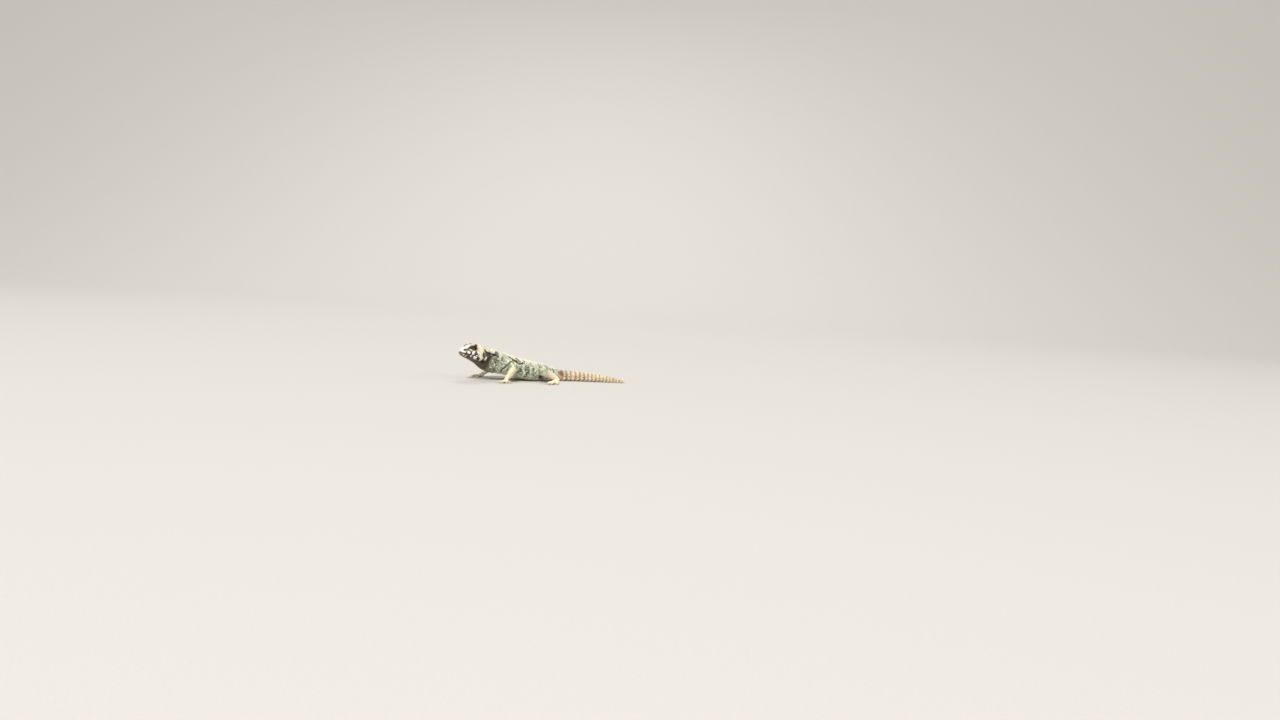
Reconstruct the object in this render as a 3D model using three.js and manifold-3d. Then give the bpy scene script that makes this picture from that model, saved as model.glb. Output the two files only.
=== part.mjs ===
// Ornate spiny-tailed lizard (a uromastyx), life size, at rest on the ground with its chest raised on
// its forelegs and its tail laid out behind it. Millimetres, +Z up. The head points to -X and the
// animal's left side faces -Y. The origin is on the ground under the middle of the belly.

import * as THREE from "three";
import { mergeVertices } from "three/addons/utils/BufferGeometryUtils.js";
import Module from "manifold-3d";

const wasm = await Module();
wasm.setup();

// Driving dimensions
const VENT_AT = 155; // from the snout's tip along the back
const TAIL_LENGTH = 110;
const BELLY_MIDDLE_AT = 122;
const TRUNK_FROM = 26; // the neck's root inside the head
const TRUNK_TO = VENT_AT + 6; // the trunk's end inside the tail
const GAP = 0.3; // left between two nodes that touch
const HEAD_SEAT_AT = 38; // where the skull meets the neck
const HEAD_AXIS_HEIGHT = 36.5; // at the seat
const HEAD_PITCH = 9; // degrees, snout up
const HEAD_SCALE = 1.15; // the head is built this much larger than its tables
const TAIL_TIP_AT = VENT_AT + TAIL_LENGTH;
const SLIVER = 0.03; // detail smaller than this is merged away after the cuts
const ROUNDING = 0.01;
const DEGREE = Math.PI / 180;

// The direction of the backbone seen from above, in degrees from +X, at distances behind the snout.
const BEND = [
  [0, 14],
  [30, 13],
  [60, 6],
  [105, 0],
  [155, -5],
  [210, -17],
  [266, -27],
];

// Neck, trunk and tail: distance behind the snout, half width, height of the back and of the belly.
const BODY = [
  [26, 10.5, 44.8, 25.0],
  [34, 14.0, 46.6, 18.0],
  [41, 15.6, 47.2, 13.4],
  [48, 17.4, 46.8, 10.6],
  [55, 19.6, 45.6, 9.2],
  [63, 22.2, 43.6, 8.6],
  [72, 24.8, 40.8, 7.4],
  [83, 27.4, 37.0, 5.2],
  [95, 29.6, 33.4, 2.6],
  [110, 29.8, 30.0, -0.2],
  [125, 26.8, 27.0, -1.0],
  [138, 21.4, 23.8, -0.9],
  [149, 16.0, 20.2, -0.8],
  [157, 12.6, 17.0, -0.7],
  [166, 10.6, 14.8, -0.6],
  [185, 9.9, 13.4, -0.6],
  [205, 8.8, 11.8, -0.5],
  [225, 7.4, 10.0, -0.5],
  [243, 5.4, 7.4, -0.4],
  [256, 3.3, 4.9, -0.3],
  [TAIL_TIP_AT, 0.9, 2.0, 0.1],
];
const WIDEST_SHARE = 0.4; // of the height, where the sides stand out furthest
const TRUNK_SQUARENESS = 2.35;
const TAIL_SQUARENESS = 2.2;
// Loose skin of the neck: folds across its sides and throat.
const NECK_FOLD = { from: 41, to: 65, step: 7.2, depth: 0.75 };

// Head: distance behind the snout's tip, half width, top and throat above the head's own axis.
const HEAD = [
  [0, 0.0, -0.6, -1.8],
  [0.8, 3.3, 1.8, -3.6],
  [2.6, 5.5, 4.0, -5.2],
  [5.5, 7.4, 5.9, -6.5],
  [10, 9.6, 8.3, -7.8],
  [15, 11.6, 10.9, -8.9],
  [20, 13.4, 12.2, -10.3],
  [26, 14.8, 11.9, -12.4],
  [31, 15.0, 11.0, -14.0],
  [36, 14.5, 9.9, -14.4],
  [42, 10.4, 8.0, -11.0],
  [46, 0.0, 0.0, 0.0],
];
const HEAD_WIDEST_SHARE = 0.42;
const HEAD_SQUARENESS = 2.5;

const EYE = { at: 14.4, side: 7.0, up: 6.3, radius: 3.75 };
const LID = {
  radii: [5.3, 4.8, 4.4],
  open: [3.1, 3.1, 2.1],
  slant: 8, // degrees, the front corner lower
  ahead: 14, // degrees that the eye looks ahead of straight sideways
  upward: 0.06, // how far up it looks for each step out
};
// The ear's cup leans back by its slant, in degrees.
const EAR = { at: 34.8, side: 13.9, up: -3.4, wide: 1.9, deep: 2.2, tall: 4.4, slant: 34 };
const EARDRUM_DEPTH = 0.9; // from the cup's middle in to the eardrum's face
const EAR_ROOM = 20; // side of a box that takes in the ear's whole cup
const NOSTRIL = { at: 3.6, side: 5.8, up: 2.1, wide: 1.15, deep: 1.4, tall: 0.95 };
// Soft swellings of the skull, the same on both sides: where, how far they spread and how high.
const SWELLINGS = [
  { at: [15.4, 7.6, 10.6], reach: [5.8, 3.0, 2.6], rise: 2.1 }, // brow
  { at: [25.5, 12.8, -4.2], reach: [6.5, 8.0, 5.0], rise: 1.9 }, // jaw muscle
  { at: [3.6, 5.8, 2.6], reach: [2.6, 3.0, 2.2], rise: 0.5 }, // round the nostril
  { at: [8.6, 8.8, 3.0], reach: [4.2, 3.4, 2.6], rise: -0.6 }, // hollow before the eye
];
const LIP_RADIUS = 1.15;
const LIP_SUNK = 0.62; // share of the lips' radius that lies inside the skull
const LIP_BEHIND = 0.5; // how far the roll of the lips lies behind the face's outline
const LIP_TIP = 0.75; // the same at the snout's tip
const LIP_CAP = 0.07; // share of the roll at each corner of the mouth that tapers off
// The lips' line in side view: distance behind the snout's tip and height above the head's axis.
const LIPS = [
  [-4, -1.0],
  [0, -1.1],
  [3, -1.8],
  [7, -2.3],
  [12, -2.4],
  [17, -3.1],
  [21, -4.4],
];
const MOUTH_CORNER = 21;
const LIP_PLACES = [MOUTH_CORNER, 18, 15, 12, 9, 6, 3.6, 1.8, 0.7];
const JAW_REAR = [
  [25, -9.5],
  [27, -16],
];
const JAW_CUT_WIDTH = 60; // more than the head's own width

// Legs: joints as distance behind the snout, distance out from the backbone, and height.
// Radii are at shares of the way: elbow or knee at a third, wrist or ankle at two thirds, then palm.
const ELBOW_SHARE = 1 / 3;
const UPPER_MIDDLE = 0.2; // a share of the way that lies in the upper arm or thigh
const LOWER_MIDDLE = 0.5; // and one in the forearm or shank
const ELBOW_CUT = 26; // widths of the cuts at the elbow or knee and at the wrist or ankle
const WRIST_CUT = 15;
const CRUMB = 20; // cubic millimetres; a smaller piece left by a cut is no body part
const FORE_RADII = [
  [0, 8.0],
  [0.15, 7.2],
  [0.27, 5.5],
  [0.34, 5.1],
  [0.42, 5.4],
  [0.56, 4.0],
  [0.68, 3.2],
  [1, 2.4],
];
const HIND_RADII = [
  [0, 7.6],
  [0.08, 8.6],
  [0.17, 8.8],
  [0.26, 7.5],
  [0.34, 6.3],
  [0.42, 6.4],
  [0.52, 4.9],
  [0.61, 3.7],
  [0.68, 3.5],
  [1, 2.6],
];
const PALM_SUNK = 0.25; // how far the palm would reach below the ground, where it is cut flat
const LIMB_BEND = 0.4; // how round a limb's curve passes its elbow or knee
const LIMB_FLATTENING = [0.94, 1.04]; // of its radius, level and across that
const LIMB_CAPS = [0.11, 0.05]; // shares of the way where its root and its end are rounded off
const HAND = {
  palm: [5.3, 4.4, 2.7],
  digits: [
    [-62, 8.4],
    [-32, 11.8],
    [-4, 13.4],
    [24, 12.8],
    [56, 9.4],
  ],
  digitRadius: 1.38,
  claw: 3.6,
  wristShare: 0.68, // of the leg's way, where the paw is parted from it
};
const FOOT = {
  palm: [7.4, 5.0, 3.1],
  digits: [
    [-44, 8.4],
    [-23, 12.2],
    [-4, 15.8],
    [16, 18.0],
    [52, 11.0],
  ],
  digitRadius: 1.6,
  claw: 4.2,
  wristShare: 0.62,
};
// A digit's arch. Heights are in millimetres above its radius, or shares of it at the tip.
const TOE = { rootUp: 0.9, archAt: 0.55, archUp: 2.2, tipUp: 0.72, taper: 0.2, cap: 0.2 };
// Its claw: sunk in the digit's tip, with heights and thickness as shares of the digit's radius.
const CLAW = {
  sunk: 2.2,
  rootUp: 0.85,
  archUp: 1.25,
  tipUp: 0.3, // millimetres above the ground
  thickness: 0.7,
  taper: 0.86,
  narrowness: 0.8,
  cap: 0.15,
};
const WRIST_TO_PALM = 0.9; // of the palm's length, from the wrist to its middle
// Where the digits leave the palm, as shares of its length and of its width from its middle.
const DIGIT_ROOT = [0.3, 0.35];
const LEGS = [
  {
    name: ["upper_arm_left", "forearm_left", "hand_left"],
    side: 1,
    root: [64, 13, 26],
    middle: [75, 33, 19.5],
    end: [62, 39.5, 5.4],
    toes: 50,
    radii: FORE_RADII,
    paw: HAND,
  },
  {
    name: ["upper_arm_right", "forearm_right", "hand_right"],
    side: -1,
    root: [64, 13, 26],
    middle: [73, 33, 19.5],
    end: [58, 38.5, 5.4],
    toes: -24,
    radii: FORE_RADII,
    paw: HAND,
  },
  {
    name: ["thigh_left", "shank_left", "foot_left"],
    side: 1,
    root: [143, 9, 11.8],
    middle: [122, 40, 18.5],
    end: [144, 48.5, 6.6],
    toes: 46,
    radii: HIND_RADII,
    paw: FOOT,
  },
  {
    name: ["thigh_right", "shank_right", "foot_right"],
    side: -1,
    root: [143, 9, 11.8],
    middle: [126, 40.5, 18.5],
    end: [150, 47, 6.6],
    toes: 52,
    radii: HIND_RADII,
    paw: FOOT,
  },
];

// Tail whorls: rings of keeled spines, closer together towards the tip.
const WHORLS = 17;
const FIRST_WHORL_AT = VENT_AT + 5;
const WHORL_STEP_LAST_SHARE = 0.56; // last step as a share of the first
const WHORL_SWELL = 0.1;
const WHORL_STEP = [0.4, 0.3]; // length of the step down behind a whorl: after its end and before it
const TAIL_ROOT = 4; // how far the tail reaches into the trunk before the cut at the vent
const TIP_ROUNDING = 2;
const PLAIN_TIP = 3; // length of the tip behind the last whorl
const SIDE_SPINE = [4.4, 2.2]; // length at the first and the last whorl
const BACK_SPINE = [3.0, 1.5];
const SPINE_RADIUS = [1.9, 0.85];
const SPINES_AROUND = [11, 5];
const SPINE_SPREAD = 196; // degrees of the whorl that carry spines, centred on the back
const SPINE_AHEAD = 0.9; // how far a spine's root lies before the whorl's rear edge
const SPINE_LEAN = [0.62, 0.8]; // how far out for each step back: on the ridge and on the sides

// How finely each form is faceted: sides round it and, where it is a list, rings along it.
const FACETS = {
  trunk: 28,
  neckRings: 19,
  trunkRings: 22,
  skull: [26, 23],
  lips: [6, 26],
  lids: [16, 10],
  lidOpening: [14, 7],
  eye: [14, 9],
  ear: [12, 8],
  nostril: [10, 6],
  limb: [12, 18],
  palm: [10, 6],
  toe: [6, 5],
  claw: [5, 4],
  tail: 14,
  spine: 4,
};

// A smooth curve through the rows of a table, read at distance x along its first column.
function read(rows, x) {
  let i = 0;
  while (i < rows.length - 2 && x > rows[i + 1][0]) i += 1;
  const [p, q] = [rows[i], rows[i + 1]];
  const before = rows[Math.max(i - 1, 0)];
  const after = rows[Math.min(i + 2, rows.length - 1)];
  const h = q[0] - p[0];
  const t = THREE.MathUtils.clamp((x - p[0]) / h, 0, 1);
  return p.slice(1).map((v, k) => {
    const c = k + 1;
    const inward = ((q[c] - before[c]) / (q[0] - before[0])) * h;
    const outward = ((after[c] - p[c]) / (after[0] - p[0])) * h;
    const delta = q[c] - v;
    return (
      v +
      t * inward +
      t * t * (3 * delta - 2 * inward - outward) +
      t * t * t * (inward + outward - 2 * delta)
    );
  });
}

// The backbone's plan, walked from the snout in short steps.
const STEP = 0.5;
const plan = [[0, 0]];
for (let s = 0; s < TAIL_TIP_AT + 5; s += STEP) {
  const angle = read(BEND, s)[0] * DEGREE;
  const [x, y] = plan[plan.length - 1];
  plan.push([x + STEP * Math.cos(angle), y + STEP * Math.sin(angle)]);
}
function planPoint(s) {
  const i = Math.max(0, Math.min(plan.length - 2, Math.floor(s / STEP)));
  const t = s / STEP - i;
  return [0, 1].map((k) => plan[i][k] + t * (plan[i + 1][k] - plan[i][k]));
}
const [originX, originY] = planPoint(BELLY_MIDDLE_AT);

// A point of the body: distance behind the snout, distance out to the left, and height.
function bodyPoint(s, out, z) {
  const [x, y] = planPoint(s);
  const angle = read(BEND, s)[0] * DEGREE;
  return new THREE.Vector3(
    x - originX + out * Math.sin(angle),
    y - originY - out * Math.cos(angle),
    z,
  );
}

// The head's own frame: X back from the snout's tip, Y to the animal's left, Z up.
const headFrame = (() => {
  const yaw = read(BEND, HEAD_SEAT_AT / 2)[0] * DEGREE;
  const seat = bodyPoint(HEAD_SEAT_AT, 0, HEAD_AXIS_HEIGHT);
  const turn = new THREE.Matrix4().makeRotationZ(yaw);
  const nod = new THREE.Matrix4().makeRotationY(HEAD_PITCH * DEGREE);
  return new THREE.Matrix4()
    .makeTranslation(seat.x, seat.y, seat.z)
    .multiply(turn)
    .multiply(nod)
    .multiply(new THREE.Matrix4().makeTranslation(-HEAD_SEAT_AT, 0, 0))
    .multiply(new THREE.Matrix4().makeScale(HEAD_SCALE, -HEAD_SCALE, HEAD_SCALE));
})();

// A closed mesh as a solid with its faces pointing out.
function solid(geometry) {
  const bare = geometry.clone();
  bare.deleteAttribute("uv");
  bare.deleteAttribute("normal");
  const merged = mergeVertices(bare, 1e-4);
  const vertProperties = merged.attributes.position.array;
  const build = (triVerts) =>
    new wasm.Manifold(new wasm.Mesh({ numProp: 3, vertProperties, triVerts }));
  const made = build(new Uint32Array(merged.index.array));
  if (made.volume() > 0) return made;
  const turned = new Uint32Array(merged.index.array);
  for (let i = 0; i < turned.length; i += 3) {
    [turned[i + 1], turned[i + 2]] = [turned[i + 2], turned[i + 1]];
  }
  return build(turned);
}

// A closed skin over `around` sides and `along` rings, from a point for each share and angle.
function wrap(around, along, pointAt) {
  const ball = new THREE.SphereGeometry(1, around, along);
  const { position, uv } = ball.attributes;
  for (let i = 0; i < position.count; i += 1) {
    const share = 1 - uv.getY(i);
    const angle = uv.getX(i) * 2 * Math.PI;
    const p = pointAt(share, angle);
    position.setXYZ(i, p.x, p.y, p.z);
  }
  return ball;
}

// A point of the ring round a path: so wide to its level side and so tall across it.
function ringPoint(centre, ahead, wide, tall, angle) {
  const across = new THREE.Vector3(-ahead.y, ahead.x, 0).normalize();
  const above = new THREE.Vector3().crossVectors(across, ahead);
  return centre
    .clone()
    .addScaledVector(across, wide * Math.cos(angle))
    .addScaledVector(above, tall * Math.sin(angle));
}

// A rounded cross-section: out and up for an angle, with its own height above and below.
function section(angle, half, up, down, squareness) {
  const bulge = (v) => Math.sign(v) * Math.abs(v) ** (2 / squareness);
  const c = bulge(Math.cos(angle));
  const s = bulge(Math.sin(angle));
  return [half * c, (s > 0 ? up : down) * s];
}

// Half width, height of the widest line and the height above and below it, at a place on the body.
function bodySize(s) {
  const [half, top, bottom] = read(BODY, s);
  const middle = bottom + WIDEST_SHARE * (top - bottom);
  return { half, middle, up: top - middle, down: middle - bottom };
}
function neckFold(s, angle) {
  const { from, to, step, depth } = NECK_FOLD;
  const share = THREE.MathUtils.clamp((s - from) / (to - from), 0, 1);
  const wave = Math.cos((2 * Math.PI * (s - from)) / step) - 1;
  const below = 0.5 - 0.5 * Math.sin(angle);
  return depth * Math.sin(Math.PI * share) * wave * Math.sqrt(below);
}
function bodySurface(s, angle, gap) {
  const size = bodySize(s);
  const grow = gap + neckFold(s, angle);
  const [out, up] = section(
    angle,
    size.half + grow,
    size.up + grow,
    size.down + grow,
    TRUNK_SQUARENESS,
  );
  return bodyPoint(s, out, size.middle + up);
}

// Neck and trunk, from inside the head to just inside the tail.
function trunkSkin(grow) {
  const { neckRings, trunkRings } = FACETS;
  const rings = neckRings + trunkRings;
  return wrap(FACETS.trunk, rings, (share, angle) => {
    const ring = Math.round(share * rings);
    const s =
      ring < neckRings
        ? TRUNK_FROM + (ring / neckRings) * (NECK_FOLD.to - TRUNK_FROM)
        : NECK_FOLD.to + ((ring - neckRings) / trunkRings) * (TRUNK_TO - NECK_FOLD.to);
    if (ring === 0 || ring === rings) return bodyPoint(s, 0, bodySize(s).middle);
    return bodySurface(s, angle, grow);
  });
}

const GROUND = [600, 60]; // width and depth of the block under the ground
const floor = solid(
  new THREE.BoxGeometry(GROUND[0], GROUND[0], GROUND[1]).translate(0, 0, -GROUND[1] / 2),
);

// A thin cut square to a direction, to part two nodes.
function slab(point, direction, size, thickness = GAP) {
  const box = new THREE.BoxGeometry(size, size, thickness);
  const turn = new THREE.Quaternion().setFromUnitVectors(
    new THREE.Vector3(0, 0, 1),
    direction.clone().normalize(),
  );
  box.applyQuaternion(turn).translate(point.x, point.y, point.z);
  return solid(box);
}

const middleOf = (m) => {
  const { min, max } = m.boundingBox();
  return new THREE.Vector3(...min).add(new THREE.Vector3(...max)).divideScalar(2);
};
const largest = (m) =>
  m.decompose().sort((a, b) => b.volume() - a.volume())[0];
const join = (list) => wasm.Manifold.union(list);

// Head, in its own frame until the last step.
const inHead = (geometry) => solid(geometry.applyMatrix4(headFrame));

// The skull's half width and the height of its widest line, with the height above and below it.
function skullSize(at) {
  const [half, top, throat] = read(HEAD, at);
  const middle = throat + HEAD_WIDEST_SHARE * (top - throat);
  return { half, middle, up: top - middle, down: middle - throat };
}
// The skull's half width at a height on the side of the face.
function faceWidth(at, height) {
  const size = skullSize(at);
  const rise = height - size.middle;
  const v = Math.min(1, Math.abs(rise) / (rise > 0 ? size.up : size.down));
  return size.half * (1 - v ** HEAD_SQUARENESS) ** (1 / HEAD_SQUARENESS);
}
function swell(point, middle) {
  const outward = new THREE.Vector3(0, point.y, point.z - middle).normalize();
  let push = 0;
  for (const { at, reach, rise } of SWELLINGS) {
    const away = [point.x - at[0], Math.abs(point.y) - at[1], point.z - at[2]];
    const d = away.reduce((sum, v, k) => sum + (v / reach[k]) ** 2, 0);
    push += rise * Math.exp(-d);
  }
  return point.addScaledVector(outward, push);
}
const RING_EASE = 0.58; // how much closer the skull's rings lie towards its two ends
function skull() {
  const length = HEAD[HEAD.length - 1][0];
  return wrap(...FACETS.skull, (share, angle) => {
    const at = length * THREE.MathUtils.lerp(share, share * share * (3 - 2 * share), RING_EASE);
    if (share === 0 || share === 1) return new THREE.Vector3(at, 0, skullSize(at).middle);
    const size = skullSize(at);
    const [out, up] = section(angle, size.half, size.up, size.down, HEAD_SQUARENESS);
    return swell(new THREE.Vector3(at, out, size.middle + up), size.middle);
  });
}

function ellipsoid(at, radii, facets) {
  return new THREE.SphereGeometry(1, ...facets)
    .scale(...radii)
    .translate(...at);
}

// The opening between the lids, as a lens in front of the eye.
function lidOpening(side) {
  const look = new THREE.Vector3(-Math.sin(LID.ahead * DEGREE), side, LID.upward)
    .normalize()
    .multiplyScalar(EYE.radius);
  return ellipsoid([0, 0, 0], LID.open, FACETS.lidOpening)
    .rotateY(LID.slant * DEGREE)
    .rotateZ(side * LID.ahead * DEGREE)
    .translate(EYE.at + look.x, side * EYE.side + look.y, EYE.up + look.z);
}

// One roll round the mouth from corner to corner, which the mouth's cut parts into two lips.
function lipRoll() {
  const at = (u, side) => {
    const height = read(LIPS, u)[0];
    const out = faceWidth(u, height) - LIP_SUNK * LIP_RADIUS;
    return new THREE.Vector3(u + LIP_BEHIND, side * out, height);
  };
  const tip = new THREE.Vector3(LIP_TIP, 0, LIPS[1][1]);
  const points = [
    ...LIP_PLACES.map((u) => at(u, 1)),
    tip,
    ...LIP_PLACES.toReversed().map((u) => at(u, -1)),
  ];
  const path = new THREE.CatmullRomCurve3(points);
  return wrap(...FACETS.lips, (share, angle) => {
    const round = Math.sqrt(Math.min(1, share / LIP_CAP, (1 - share) / LIP_CAP));
    const r = LIP_RADIUS * round;
    return ringPoint(path.getPointAt(share), path.getTangentAt(share), r, r, angle);
  });
}

// Everything under the lips' line, as a prism right across the head, made larger by `grow`.
function jawPrism(grow) {
  const outline = new THREE.Shape();
  outline.moveTo(LIPS[0][0], LIPS[0][1] + grow);
  const steps = 11;
  for (let i = 1; i <= steps; i += 1) {
    const x = THREE.MathUtils.lerp(LIPS[0][0], MOUTH_CORNER, i / steps);
    outline.lineTo(x, read(LIPS, x)[0] + grow);
  }
  for (const [x, z] of JAW_REAR) outline.lineTo(x + grow, z);
  outline.lineTo(LIPS[0][0], JAW_REAR[1][1]);
  return new THREE.ExtrudeGeometry(outline, { depth: JAW_CUT_WIDTH, bevelEnabled: false })
    .translate(0, 0, -JAW_CUT_WIDTH / 2)
    .rotateX(Math.PI / 2);
}

const sides = [
  ["left", 1],
  ["right", -1],
];

function headParts(neckStart) {
  const raised = [inHead(skull()), inHead(lipRoll()), neckStart];
  const holes = [];
  const parts = {};
  for (const [word, side] of sides) {
    const eye = [EYE.at, side * EYE.side, EYE.up];
    const ball = (radius) => inHead(ellipsoid(eye, Array(3).fill(radius), FACETS.eye));
    raised.push(inHead(ellipsoid(eye, LID.radii, FACETS.lids)));
    holes.push(ball(EYE.radius + GAP), inHead(lidOpening(side)));
    parts[`eye_${word}`] = ball(EYE.radius);
    const ear = [EAR.at, side * EAR.side, EAR.up];
    const cup = (gap) => {
      const radii = [EAR.wide - gap, EAR.deep - gap, EAR.tall - gap];
      const form = ellipsoid([0, 0, 0], radii, FACETS.ear).rotateY(EAR.slant * DEGREE);
      return inHead(form.translate(...ear));
    };
    holes.push(cup(0));
    const outside = new THREE.BoxGeometry(EAR_ROOM, EAR_ROOM, EAR_ROOM).translate(
      ear[0],
      side * (EAR.side + EAR_ROOM / 2 - EARDRUM_DEPTH),
      ear[2],
    );
    parts[`ear_${word}`] = cup(GAP).subtract(inHead(outside));
    const nostril = [NOSTRIL.at, side * NOSTRIL.side, NOSTRIL.up];
    const pit = [NOSTRIL.wide, NOSTRIL.deep, NOSTRIL.tall];
    holes.push(inHead(ellipsoid(nostril, pit, FACETS.nostril)));
  }
  const whole = join(raised).subtract(join(holes));
  parts.jaw = largest(whole.intersect(inHead(jawPrism(0))));
  parts.head = largest(whole.subtract(inHead(jawPrism(GAP))));
  return parts;
}

// Which way a paw points, and the middle of its palm, ahead of the wrist.
function pawHeading(leg) {
  const back = read(BEND, leg.end[0])[0] * DEGREE;
  return back + Math.PI + leg.side * leg.toes * DEGREE;
}
const level = (angle) => new THREE.Vector3(Math.cos(angle), Math.sin(angle), 0);
function palmCentre(leg, wrist) {
  const { palm } = leg.paw;
  return wrist
    .clone()
    .setZ(palm[2] - PALM_SUNK)
    .addScaledVector(level(pawHeading(leg)), palm[0] * WRIST_TO_PALM);
}

// One leg as a bent, tapering limb with its paw.
function limb(leg) {
  const at = ([s, out, z]) => bodyPoint(s, leg.side * out, z);
  const [root, middle, end] = [leg.root, leg.middle, leg.end].map(at);
  const palm = palmCentre(leg, end);
  const path = new THREE.CatmullRomCurve3(
    [root, middle, end, palm],
    false,
    "catmullrom",
    LIMB_BEND,
  );
  const skin = wrap(...FACETS.limb, (share, angle) => {
    const centre = path.getPoint(share);
    const ahead = path.getTangent(share);
    const round = Math.min(1, share / LIMB_CAPS[0], (1 - share) / LIMB_CAPS[1]);
    const radius = read(leg.radii, share)[0] * Math.sqrt(round);
    const [wide, tall] = LIMB_FLATTENING.map((v) => v * radius);
    return ringPoint(centre, ahead, wide, tall, angle);
  });
  return { end, path, solid: solid(skin) };
}

// A digit that arches from the palm to the ground, with its claw.
function digit(from, heading, length, radius, claw) {
  const along = (d, z) => from.clone().setZ(z).addScaledVector(level(heading), d);
  const path = new THREE.QuadraticBezierCurve3(
    along(0, radius + TOE.rootUp),
    along(length * TOE.archAt, radius + TOE.archUp),
    along(length, radius * TOE.tipUp),
  );
  const toe = wrap(...FACETS.toe, (share, angle) => {
    const round = Math.sqrt(Math.min(1, share / TOE.cap, (1 - share) / TOE.cap));
    const r = radius * (1 - TOE.taper * share) * round;
    return ringPoint(path.getPoint(share), path.getTangent(share), r, r, angle);
  });
  const hook = new THREE.QuadraticBezierCurve3(
    along(length - CLAW.sunk, radius * CLAW.rootUp),
    along(length + claw / 2, radius * CLAW.archUp),
    along(length + claw, CLAW.tipUp),
  );
  const nail = wrap(...FACETS.claw, (share, angle) => {
    const round = share < 1 ? Math.sqrt(Math.min(1, share / CLAW.cap)) : 0;
    const r = radius * CLAW.thickness * (1 - CLAW.taper * share) * round;
    return ringPoint(hook.getPoint(share), hook.getTangent(share), r * CLAW.narrowness, r, angle);
  });
  return [solid(toe), solid(nail)];
}

function pawSolids(leg, wrist) {
  const { palm, digits, digitRadius, claw } = leg.paw;
  const forward = pawHeading(leg);
  const centre = palmCentre(leg, wrist);
  const pad = ellipsoid([0, 0, 0], palm, FACETS.palm)
    .rotateZ(forward)
    .translate(centre.x, centre.y, centre.z);
  const list = [solid(pad)];
  for (const [fan, length] of digits) {
    const heading = forward + leg.side * fan * DEGREE;
    const root = centre
      .clone()
      .addScaledVector(level(forward), palm[0] * DIGIT_ROOT[0] * Math.cos(fan * DEGREE))
      .addScaledVector(level(heading), palm[1] * DIGIT_ROOT[1]);
    list.push(...digit(root, heading, length, digitRadius, claw));
  }
  return list;
}

function legParts(leg, torsoRoom) {
  const bone = limb(leg);
  const whole = join([bone.solid, ...pawSolids(leg, bone.end)])
    .subtract(torsoRoom)
    .subtract(floor);
  const cutAt = (share, size) =>
    slab(bone.path.getPoint(share), bone.path.getTangent(share), size);
  const elbow = cutAt(ELBOW_SHARE, ELBOW_CUT);
  const wrist = cutAt(leg.paw.wristShare, WRIST_CUT);
  const pieces = whole.subtract(elbow).subtract(wrist).decompose();
  const near = (point) =>
    pieces
      .map((m) => [middleOf(m).distanceTo(point), m])
      .filter(([, m]) => m.volume() > CRUMB)
      .sort((a, b) => a[0] - b[0])[0][1];
  return {
    [leg.name[0]]: near(bone.path.getPoint(UPPER_MIDDLE)),
    [leg.name[1]]: near(bone.path.getPoint(LOWER_MIDDLE)),
    [leg.name[2]]: near(bone.path.getPoint(1)),
  };
}

// Where each whorl of the tail ends.
function whorlEnds() {
  const steps = Array.from(
    { length: WHORLS },
    (_, i) => 1 - (1 - WHORL_STEP_LAST_SHARE) * (i / (WHORLS - 1)),
  );
  const total = steps.reduce((a, b) => a + b, 0);
  const room = TAIL_TIP_AT - PLAIN_TIP - FIRST_WHORL_AT;
  let at = FIRST_WHORL_AT;
  return steps.map((step) => (at += (step / total) * room));
}

function tailSolid() {
  const ends = whorlEnds();
  const starts = [FIRST_WHORL_AT, ...ends.slice(0, -1)];
  const rings = [[VENT_AT - TAIL_ROOT, 0], [VENT_AT - TAIL_ROOT + 1, 1]];
  starts.forEach((start, i) => {
    rings.push([start + WHORL_STEP[0], 1], [ends[i] - WHORL_STEP[1], 1 + WHORL_SWELL]);
  });
  rings.push([TAIL_TIP_AT - TIP_ROUNDING, 1], [TAIL_TIP_AT, 0]);
  const core = wrap(FACETS.tail, rings.length - 1, (share, angle) => {
    const [s, swell] = rings[Math.round(share * (rings.length - 1))];
    const size = bodySize(s);
    const [out, up] = section(
      angle,
      size.half * swell,
      size.up * swell,
      size.down * Math.min(swell, 1),
      TAIL_SQUARENESS,
    );
    return bodyPoint(s, out, size.middle + up);
  });
  const list = [solid(core)];
  ends.forEach((end, i) => {
    const share = i / (WHORLS - 1);
    const count = Math.round(THREE.MathUtils.lerp(...SPINES_AROUND, share));
    for (let k = 0; k < count; k += 1) {
      const turn = (k / (count - 1) - 0.5) * SPINE_SPREAD;
      list.push(spine(end, turn, share));
    }
  });
  return join(list).subtract(floor);
}

// One keeled spine on the rear edge of a whorl, `turn` degrees round from the back's ridge.
function spine(end, turn, share) {
  const angle = (90 - turn) * DEGREE;
  const sideways = Math.abs(Math.sin(turn * DEGREE));
  const length = THREE.MathUtils.lerp(
    THREE.MathUtils.lerp(...BACK_SPINE, share),
    THREE.MathUtils.lerp(...SIDE_SPINE, share),
    sideways,
  );
  const place = end - SPINE_AHEAD;
  const base = bodySurface(place, angle, 0);
  const centre = bodyPoint(place, 0, bodySize(place).middle);
  const outward = base.clone().sub(centre).setZ(Math.max(base.z - centre.z, -1));
  outward.normalize();
  const back = bodyPoint(place + 1, 0, 0).sub(bodyPoint(place, 0, 0)).normalize();
  const lean = THREE.MathUtils.lerp(...SPINE_LEAN, sideways);
  const aim = outward.multiplyScalar(lean).add(back).normalize();
  const radius = THREE.MathUtils.lerp(...SPINE_RADIUS, share);
  const cone = new THREE.ConeGeometry(radius, length + radius, FACETS.spine, 1)
    .translate(0, (length - radius) / 2, 0)
    .applyQuaternion(
      new THREE.Quaternion().setFromUnitVectors(new THREE.Vector3(0, 1, 0), aim),
    )
    .translate(base.x, base.y, base.z);
  return solid(cone);
}

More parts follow.
